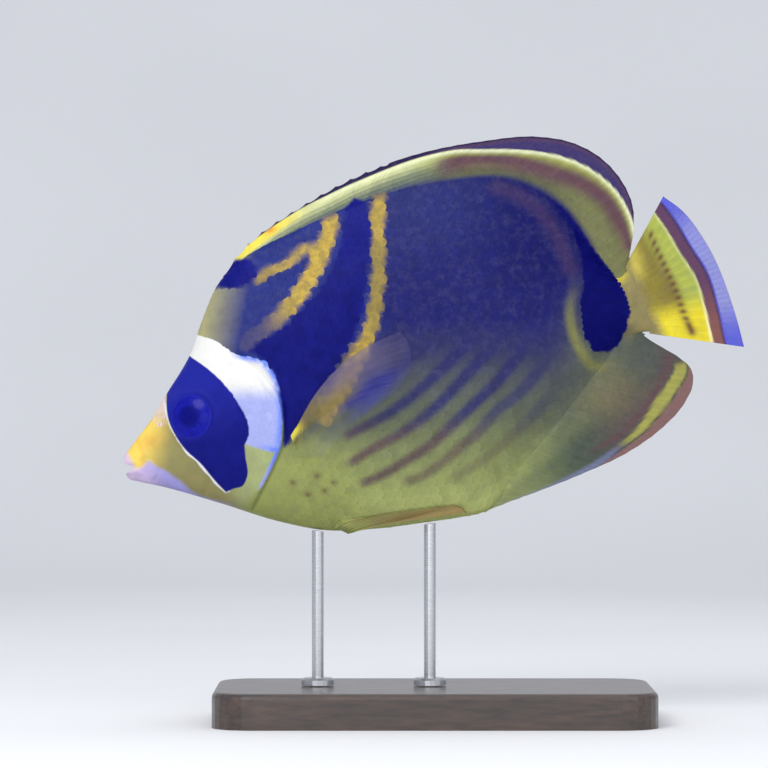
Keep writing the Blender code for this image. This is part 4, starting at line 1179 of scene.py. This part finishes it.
def back_ground(u, v, x, z):
    """Colours of the back fin: streaked and pale-edged in front, then a brown band and a clear margin."""
    body = MARKS.ground(x, z)
    above = BACK_CLEAR.distance(x, z)
    from_tips = BACK_TIPS.near(x, z)[0]
    rear = ease(94, 106, x)
    streaks = 0.5 + 0.5 * np.sin(2 * np.pi * (above * 1.05 + 0.05 * u) + np.sin(u))
    sheath = layered(body, (SHEATH, ease(0.15, 0.45, v)), (FIN_PALE, ease(-4.2, -1.0, above)))
    spiny = layered(
        sheath,
        (sheath * 0.62, 0.8 * streaks * ease(-1.0, -2.2, above)),
        (BRIGHT_YELLOW, ease(66, 54, x) * ease(-2.4, -1.4, above)),
        (ORANGE, 0.9 * spot(x, z, (52.9, 45.0), tall=0.625, spread=1.5)))
    soft = layered(
        body,
        (mix(FIN_OLIVE, FIN_OLIVE_REAR, ease(122, 132, x)), ease(0.16, 0.3, v)),
        (FIN_YELLOW, ease(-5.5, -2.0, above)),
        (FIN_BROWN, ease(4.2, 0.4, BACK_BROWN.near(x, z)[0])),
        (FIN_YELLOW, 0.55 * ease(-2.2, -1.0, above)),
        (FIN_WHITE, 0.65 * bump(above, -0.25, 0.3)))
    edge = layered(
        mix(DARK_EDGE, FIN_EDGE_PURPLE, rear),
        (FIN_BROWN, 0.5 * ease(1.6, 0.7, from_tips) * rear),
        (DARK_EDGE, ease(0.7, 0.2, from_tips)))
    colour = layered(
        mix(spiny, soft, ease(90, 104, x)),
        (FIN_WHITE, 0.6 * bump(above, -0.5, 0.5) * ease(64, 72, x)),
        (edge, ease(-0.15, 0.2, above)))
    colour = mix(body, colour, ease(39.8, 41.4, x))
    return shaded_between_rays(colour, u, v, 0.45 * ease(0.3, 0.7, v) * ease(96, 104, x))


def back_alpha(u, v, x, z):
    """How solid the back fin is: a little see-through at its rear margin, most so between the rays."""
    clear = ease(0.0, 0.8, BACK_CLEAR.distance(x, z)) * ease(96, 102, x)
    clear = clear * ease(0.4, 1.2, BACK_TIPS.near(x, z)[0])
    return 1 - 0.16 * clear * (1 - 0.3 * ray_ridge(u, v, 0.35))


def anal_ground(u, v, x, z):
    """Colours of the anal fin: the belly's, going grey, with a bright strip inside a purple-brown margin."""
    outside = -ANAL_RIM.distance(x, z)
    narrow = 1.6 * ease(136, 124, x)
    strip = ease(narrow - 3.2, narrow - 2.6, outside) * ease(120, 127, x) * ease(-17.2, -19.4, z)
    colour = layered(
        MARKS.ground(x, z),
        (ANAL_OLIVE, ease(0.1, 0.5, v) * (0.45 + 0.55 * ease(92, 116, x))),
        (ANAL_BROWNISH, 0.6 * spot(x, z, (125, -22), 9, 7)),
        (ANAL_GREY, 0.7 * spot(x, z, (135.5, -14), 5, 5)),
        (FIN_BROWN, 0.35 * ease(-9, -5, outside) * ease(112, 124, x)),
        (ANAL_LAVENDER, 0.7 * ease(-1.6, -0.4, outside) * ease(126, 118, x)),
        (FIN_BROWN, 0.7 * ease(1.3, 0.2, ANAL_LINE.near(x, z)[0]) * ease(110, 122, x)),
        (ANAL_YELLOW, strip),
        (DARK_EDGE, 0.8 * bump(outside, 0.35, 0.35) * ease(116, 124, x)),
        (TAIL_RUST, ease(0.4, 0.9, outside) * ease(104, 114, x)))
    return shaded_between_rays(colour, u, v, 0.35 * ease(0.4, 0.8, v))


def anal_alpha(u, v, x, z):
    """How solid the anal fin is: a little see-through outside its margin's line."""
    return 1 - 0.3 * ease(0.2, 0.9, -ANAL_RIM.distance(x, z)) * ease(108, 118, x)


def tail_ground(u, v, x, z):
    """Colours of the tail fin: yellow, a dotted line, a brown band edged white, a clear margin."""
    past = TAIL_BAND.distance(x, z)
    yellow = mix(mix(TAIL_DEEP, TAIL_OLIVE, ease(-7.5, -3.5, past)), TAIL_YELLOW, ease(-1, -8, z))
    colour = layered(
        mix(STALK_TAN, yellow, ease(137.5, 141.5, x - 1.5 * ease(-2, -8, z))),
        (BRIGHT_YELLOW, 0.4 * bump(x, 139.6, 2) * ease(3, 9, z)))
    joined = 0.25 + 0.75 * ease(-7, -10, z)
    dots = bump(DOTS.near(x, z)[0], 0, 1.0) * (joined + (1 - joined) * bump(u - np.round(u), 0, 0.3))
    return layered(
        shaded_between_rays(colour, u, v, 0.4 * ease(0.2, 0.5, v), split=0.3),
        (DOT_BROWN, 0.95 * dots),
        (FIN_WHITE, (0.35 + 0.45 * ease(0, -10, z)) * bump(past, -0.25, 0.3)),
        (mix(TAIL_BROWN, TAIL_RUST, ease(2, -14, z)), ease(-0.1, 0.25, past)),
        (DARK_EDGE, 0.7 * bump(past, TAIL_BROWN_WIDTH - 0.1, 0.3)),
        (CLEAR_VIOLET, ease(-0.1, 0.4, past - TAIL_BROWN_WIDTH)))


def tail_alpha(u, v, x, z):
    """How solid the tail fin is: see-through past its brown band, least so at its two corners."""
    clear = ease(0, 0.6, TAIL_BAND.distance(x, z) - TAIL_BROWN_WIDTH)
    across = u / (TAIL_RAYS - 1)
    ends = np.maximum(ease(0.3, 0.0, across), ease(0.7, 1.0, across))
    return 1 - (0.64 - 0.38 * ends) * clear * (1 - 0.1 * ray_ridge(u, v, 0.3))


def make_midline_fins(scales):
    """Back fin in its spiny and soft lengths, anal fin and tail fin."""
    material = hide_material("fish_fins", 0.45, clear=True, grain=1200.0)
    total = BACK_FIN_SPINES + BACK_FIN_RAYS - 1
    place = midline_place(BACK, 1, (BACK_FIN_FROM, BACK_FIN_TO), BACK_FIN_MARGIN, BACK_FIN_SWEEP, total,
                          BACK_FIN_SPINES)
    thickness = fin_thickness(root=1.3, ray=0.22, edge=0.24, spines=BACK_FIN_SPINES, grown=0.6)
    rows = spaced(FIN_ROWS, lambda t: 1 + 0.8 * bump(t, 1, 0.1))
    parts = BACK_FIN_SPINES - 0.1
    fin = Fin(place, thickness, np.linspace(0, parts, SPINY_COLUMNS), rows)
    fin.piece("back_fin_spiny", "fin_back", material, ("dorsal_fin_spiny",), back_ground, back_alpha)
    fin.scales("back_fin_scales_spiny", "fin_back", scales, back_ground, SPINY_SCALES)
    fin = Fin(place, thickness, np.linspace(parts, total, SOFT_COLUMNS), rows)
    fin.piece("back_fin_soft", "fin_back", material, ("dorsal_fin_soft",), back_ground, back_alpha)
    fin.scales("back_fin_scales_soft", "fin_back", scales, back_ground, SOFT_SCALES)
    total = ANAL_FIN_SPINES + ANAL_FIN_RAYS - 1
    place = midline_place(BELLY, -1, (ANAL_FIN_FROM, ANAL_FIN_TO), ANAL_FIN_MARGIN, ANAL_FIN_SWEEP, total,
                          ANAL_FIN_SPINES, notch=0.3)
    thickness = fin_thickness(root=1.7, ray=0.22, edge=0.24, spines=ANAL_FIN_SPINES)
    fin = Fin(place, thickness, np.linspace(0, total, ANAL_COLUMNS), rows)
    fin.piece("anal_fin_fine", "fin_anal", material, ("anal_fin",), anal_ground, anal_alpha)
    fin.scales("anal_fin_scales", "fin_anal", scales, anal_ground, ANAL_SCALES)
    root, margin, last = Curve(TAIL_ROOT), Curve(TAIL_MARGIN), TAIL_RAYS - 1

    def tail_place(u, v):
        start = root.beside(np.clip(u / last, 0, 1), -TAIL_SUNK)
        flat = start + (margin.at(u / last) - start) * v[..., None]
        return np.stack([flat[..., 0], np.zeros_like(v), flat[..., 1]], axis=-1)

    thickness = fin_thickness(root=1.5, ray=0.24, edge=0.26)
    fin = Fin(tail_place, thickness, np.linspace(0, last, TAIL_COLUMNS), spaced(TAIL_ROWS, np.ones_like))
    fin.piece("tail_fin_fine", "fin_tail", material, ("tail_fin",), tail_ground, tail_alpha)
    fin.scales("tail_fin_scales", "fin_tail", scales, tail_ground, TAIL_SCALES, 0.0, True)
    return material


def flank_room(x, z):
    """How far from the midplane the solids' skin lies, at places of a grid."""
    flat = [share_height(a, b) for a, b in zip(x.ravel(), z.ravel())]
    share, height = np.array(flat).T
    return body_point(share, height)[2].reshape(x.shape) + breast_pad(x, z)


def paired_place(side, root, margin, rays, bow, spread):
    """The middle sheet of a breast or belly fin: flat on the flank at its root, then standing off it."""
    root, margin = Curve(root), Curve(margin)
    last = rays - 1

    def place(u, v):
        start, tip = root.at(u / last), margin.at(u / last)
        run = tip - start
        reach = np.linalg.norm(run, axis=-1)
        lift = np.stack([-run[..., 1], run[..., 0]], axis=-1) / reach[..., None]
        flat = start + run * v[..., None] + lift * (bow * (1 - u / last) * 4 * v * (1 - v))[..., None]
        near_root = flank_room(start[:, :1, 0], start[:, :1, 1])
        away = near_root + ROOT_OFF + math.tan(spread) * reach * v
        away = np.maximum(away, flank_room(flat[..., 0], flat[..., 1]) + FIN_OFF)
        away = away - ROOT_SUNK * (1 - ease(0, 0.06, v))
        return np.stack([flat[..., 0], side * away, flat[..., 1]], axis=-1)

    return place


def breast_ground(u, v, x, z):
    """Colours of the breast fin: a lilac front edge, a brown zone behind it and a blue membrane, with bright
    yellow painted as a highlight on the upper part of its root.
    """
    # the upper part of the root is painted bright yellow as a highlight
    root = mix(MARKS.ground(x, z), BRIGHT_YELLOW, 0.9 * ease(4.5, 1.5, u))
    return layered(
        mix(MEMBRANE, MEMBRANE_RAY, 0.4 * ray_ridge(u, v, 0.4)),
        (BREAST_FIN_GOLD, ease(6.5, 3.5, u) * ease(0.75, 0.45, v)),
        (BREAST_FIN_EDGE, ease(4.2, 1.2, u) * ease(0.22, 0.42, v)),
        (root, ease(0.14, 0.05, v)))


def breast_alpha(u, v, x, z):
    """How solid the breast fin is: its front edge and root show most, its lower root not at all."""
    front = ease(5.5, 0.6, u) * ease(0.95, 0.62, v)
    blue = ease(0.35, 0.6, v) * ease(2, 5, u) * ease(0.97, 0.85, v)
    clear = ease(4.5, 8, u) * ease(66, 56, x)
    membrane = (0.06 + 0.04 * ray_ridge(u, v, 0.4) + 0.2 * blue) * (1 - 0.85 * clear) + 0.36 * front
    root = 0.9 * ease(0.1, 0.0, v) * ease(7, 4, u)
    return np.clip((membrane + root) * (1 - ease(0.05, 0.0, v) * ease(4, 7, u)), 0, 1)


def belly_ground(u, v, x, z):
    """Colours of the belly fin: the breast's at its root, then brown."""
    colour = mix(BREAST, PELVIC_BROWN, ease(0.0, 0.5, v) * (0.5 + 0.5 * ease(3, 1, u)))
    return shaded_between_rays(colour, u, v, 0.4, split=0.4, shade=0.7)


def solid_alpha(u, v, x, z):
    """A fin that nothing shows through."""
    return np.ones_like(v)


def make_paired_fins(material):
    """Breast and belly fins of both sides."""
    rows = spaced(PAIRED_ROWS, np.ones_like)
    breast = fin_thickness(root=1.1, ray=0.22, edge=0.28, buried=1)
    belly = fin_thickness(root=1.2, ray=0.3, edge=0.22, buried=1)
    for word, side in SIDES:
        place = paired_place(side, PECTORAL_ROOT, PECTORAL_MARGIN, PECTORAL_RAYS, PECTORAL_BOW,
                             PECTORAL_SPREAD)
        fin = Fin(place, breast, np.linspace(0, PECTORAL_RAYS - 1, BREAST_COLUMNS), rows)
        fin.piece(f"breast_fin_{word}", "fin_clear", material, (f"pectoral_fin_{word}",), breast_ground,
                  breast_alpha, marked=False)
        place = paired_place(side, PELVIC_ROOT, PELVIC_MARGIN, PELVIC_RAYS, 0, PELVIC_SPREAD)
        fin = Fin(place, belly, np.linspace(0, PELVIC_RAYS - 1, BELLY_COLUMNS), rows)
        fin.piece(f"belly_fin_{word}", "fin_belly", material, (f"pelvic_fin_{word}",), belly_ground,
                  solid_alpha, marked=False)


def eye_material():
    """Very dark iris and pupil under a clear, wet cornea."""
    tree = Tree("fish_eye")
    radius = tree.field("radius")
    rays = tree.noise(900, 4, roughness=0.7)
    iris = tree.blend(tree.step(rays, 0.3, 0.7), IRIS, IRIS_LIGHT)
    colour = tree.blend(tree.step(radius, 2.0, 3.6), PUPIL, iris)
    rim = tree.math("MULTIPLY", tree.step(radius, 5.0, 5.4), tree.step(radius, 5.9, 5.6))
    colour = tree.blend(tree.math("MULTIPLY", rim, 0.22), colour, IRIS_RIM)
    return tree.finish(Base_Color=colour, Roughness=tree.step(rays, 0.2, 0.8, 0.24, 0.36), Coat_Weight=0.08,
                       Coat_Roughness=0.1, Specular_IOR_Level=0.06, Normal=tree.bumps(rays, 0.15, 0.00003))


def make_eyes():
    """Each eye is a flattened ball that faces out square to the head."""
    sunk = EYE_DEPTH * math.sqrt(1 - (EYE_SEEN / EYE_RADIUS) ** 2)
    ring, polar = 96, spaced(30, np.ones_like) * math.pi
    turn = np.linspace(0, 2 * math.pi, ring, endpoint=False)
    radius = EYE_RADIUS * np.sin(polar)[1:-1, None] * np.ones(ring)
    depth = np.broadcast_to((EYE_DEPTH * np.cos(polar) - sunk)[1:-1, None], radius.shape)
    local = np.stack([radius * np.cos(turn), radius * np.sin(turn), depth], axis=-1).reshape(-1, 3)
    poles = np.array([[0, 0, EYE_DEPTH - sunk], [0, 0, -EYE_DEPTH - sunk]])
    left = EYE_FRAME.back(np.concatenate([local, poles]))
    reach = np.concatenate([np.hypot(local[:, 0], local[:, 1]), [0, 0]])
    rows = len(polar) - 2
    quads = grid_faces(rows, ring, wrap=True)
    outer, inner = (fan_faces(start, ring, len(local) + k) for k, start in enumerate((0, (rows - 1) * ring)))
    material = eye_material()
    for word, side in SIDES:
        points = left * [1, -side, 1]
        turned = facing_out(points, quads)[0, 0] != quads[0, 0]
        faces = [*(quads[:, ::-1] if turned else quads)]
        for fan in (outer, inner[:, [1, 0, 2]]):
            faces += [*(fan if turned else fan[:, ::-1])]
        Piece(f"eyeball_{word}", points, faces, "eye", material, (f"eye_{word}",)).value("radius", reach)


def make_nostrils():
    """Two pale, raised nostrils on each side of the snout, with painted shade in their shallow holes."""
    tree = Tree("fish_nostrils")
    rose = tree.blend(tree.speckle(2500, 2, 0.3, 0.7), NOSTRIL_PALE, NOSTRIL_ROSE)
    # the hole is painted dark as the shade inside it
    colour = tree.blend(tree.field("hole"), rose, NOSTRIL_HOLE_SHADE)
    material = tree.finish(Base_Color=colour, Roughness=tree.speckle(3000, 2, 0.2, 0.8, 0.35, 0.5))
    ring, step = 24, 1e-3
    turn = np.linspace(0, 2 * math.pi, ring, endpoint=False)
    faces = grid_faces(len(NOSTRIL_RADII), ring, wrap=True)
    for number, (x, z) in enumerate(NOSTRILS):
        share, height = share_height(x, z)
        size = SECOND_NOSTRIL if number else 1
        radii, rise = size * np.array(NOSTRIL_RADII), size * np.array(NOSTRIL_RISE)
        for word, side in SIDES:
            here = skin_at(share, height, side)
            forward = skin_at(share + step, height, side) - here
            upward = skin_at(share, height + step, side) - here
            out = np.cross(forward, upward)
            out *= side * np.sign(out[1]) / np.linalg.norm(out)
            forward /= np.linalg.norm(forward)
            upward = np.cross(out, forward)
            flat = radii[:, None, None] * (np.cos(turn)[:, None] * forward + np.sin(turn)[:, None] * upward)
            points = here + flat + rise[:, None, None] * out
            rim = Piece(f"nostril_{number}_{word}", points.reshape(-1, 3), faces[:, ::side], "skin_head",
                        material)
            rim.value("hole", np.repeat(NOSTRIL_HOLE, ring))


def wood_material():
    """Dark stained wood with long grain under a satin lacquer."""
    tree = Tree("stand_wood_fine")
    place = tree.add("Mapping", Vector=tree.add("TexCoord", "Object"), Scale=(0.12, 1.0, 1.0))
    grain = tree.noise(900, 6, place, 0.65)
    broad = tree.step(tree.noise(160, 3, place), 0.35, 0.7, 0.0, 0.45)
    colour = tree.blend(tree.step(grain, 0.3, 0.7), WOOD_DARK, WOOD_LIGHT)
    colour = tree.blend(broad, colour, WOOD_STAIN)
    return tree.finish(Base_Color=colour, Roughness=tree.step(grain, 0.2, 0.8, 0.34, 0.5), Coat_Weight=0.5,
                       Coat_Roughness=0.18, Normal=tree.bumps(grain, 0.25, 0.00008))


def steel_material():
    """Turned steel, with fine rings round the rod."""
    tree = Tree("stand_steel_fine")
    place = tree.add("Mapping", Vector=tree.add("TexCoord", "Object"), Scale=(0.1, 0.1, 6.0))
    rings = tree.noise(2600, 3, place)
    colour = tree.blend(tree.step(rings, 0.3, 0.7), STEEL_DARK, STEEL_LIGHT)
    return tree.finish(Base_Color=colour, Roughness=tree.step(rings, 0.2, 0.8, 0.24, 0.34), Metallic=1.0,
                       Normal=tree.bumps(rings, 0.06, 0.00001))


def dress_stand(frame):
    """Wood on the base and steel on both rods."""
    wood, steel = wood_material(), steel_material()
    for node, material in (("stand_base", wood), ("stand_rod_front", steel), ("stand_rod_rear", steel)):
        for slot in frame["nodes"][node].material_slots:
            slot.material = material


# Lights of the studio: name, place and size in metres, and power in watts
LIGHTS = [
    ("key_light", (-0.3, -0.6, 0.6), 0.45, 4.0), ("fill_light", (0.5, -0.7, 0.25), 0.7, 1.5),
    ("low_light", (-0.1, -0.8, 0.1), 0.5, 1.1), ("top_light", (0.05, 0.2, 0.8), 0.6, 1.5),
]
LIT_POINT = Vector((0, 0, 0.09))
VIEW_WIDTH, VIEW_CENTRE = 0.19607, (-0.0128, 0.0861)  # the strip that the camera sees at the fish's middle


def make_floor():
    """A pale floor that curves up into a backdrop."""
    half_width, front, bend, top = 3.0, -1.2, 0.7, 2.4
    turn = np.linspace(0.1, math.pi / 2, 14)
    flat = np.linspace(front, bend, 8)
    depth = np.concatenate([flat, bend + 0.5 * np.sin(turn), [bend + 0.5]])
    height = np.concatenate([np.zeros(len(flat)), 0.5 - 0.5 * np.cos(turn), [top]])
    points = np.array([[x, y, z] for y, z in zip(depth, height) for x in (-half_width, half_width)])
    mesh = bpy.data.meshes.new("studio_floor")
    mesh.from_pydata(points.tolist(), [], grid_faces(len(depth), 2).tolist())
    mesh.shade_smooth()
    tree = Tree("studio_paper")
    paper = tree.blend(tree.speckle(3, 2, 0.3, 0.7), PAPER_DARK, PAPER_LIGHT)
    mesh.materials.append(tree.finish(Base_Color=paper, Roughness=0.9))
    floor = bpy.data.objects.new("studio_floor", mesh)
    bpy.context.scene.collection.objects.link(floor)


def make_studio():
    """The floor, soft lights, and the camera level with the fish."""
    scene = bpy.context.scene
    make_floor()
    world = bpy.data.worlds.new("studio_air")
    world.use_nodes = True
    world.node_tree.nodes["Background"].inputs["Color"].default_value = (0.86, 0.90, 1.0, 1)
    world.node_tree.nodes["Background"].inputs["Strength"].default_value = 0.8
    scene.world = world
    for name, place, size, power in LIGHTS:
        light = bpy.data.lights.new(name, "AREA")
        light.shape = "DISK"
        light.size, light.energy = size, power
        lamp = bpy.data.objects.new(name, light)
        lamp.location = place
        lamp.rotation_euler = (LIT_POINT - Vector(place)).to_track_quat("-Z", "Y").to_euler()
        scene.collection.objects.link(lamp)
    camera = bpy.data.cameras.new("camera")
    camera.lens, camera.sensor_width = 200, 36
    view = bpy.data.objects.new("camera", camera)
    view.location = (VIEW_CENTRE[0], -VIEW_WIDTH * camera.lens / camera.sensor_width, VIEW_CENTRE[1])
    view.rotation_euler = (math.pi / 2, 0, 0)
    scene.collection.objects.link(view)
    scene.camera = view
    scene.view_settings.view_transform = "Standard"


def main():
    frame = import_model()
    make_studio()
    make_skin()
    make_paired_fins(make_midline_fins(make_coat()))
    make_eyes()
    make_nostrils()
    dress_stand(frame)


main()
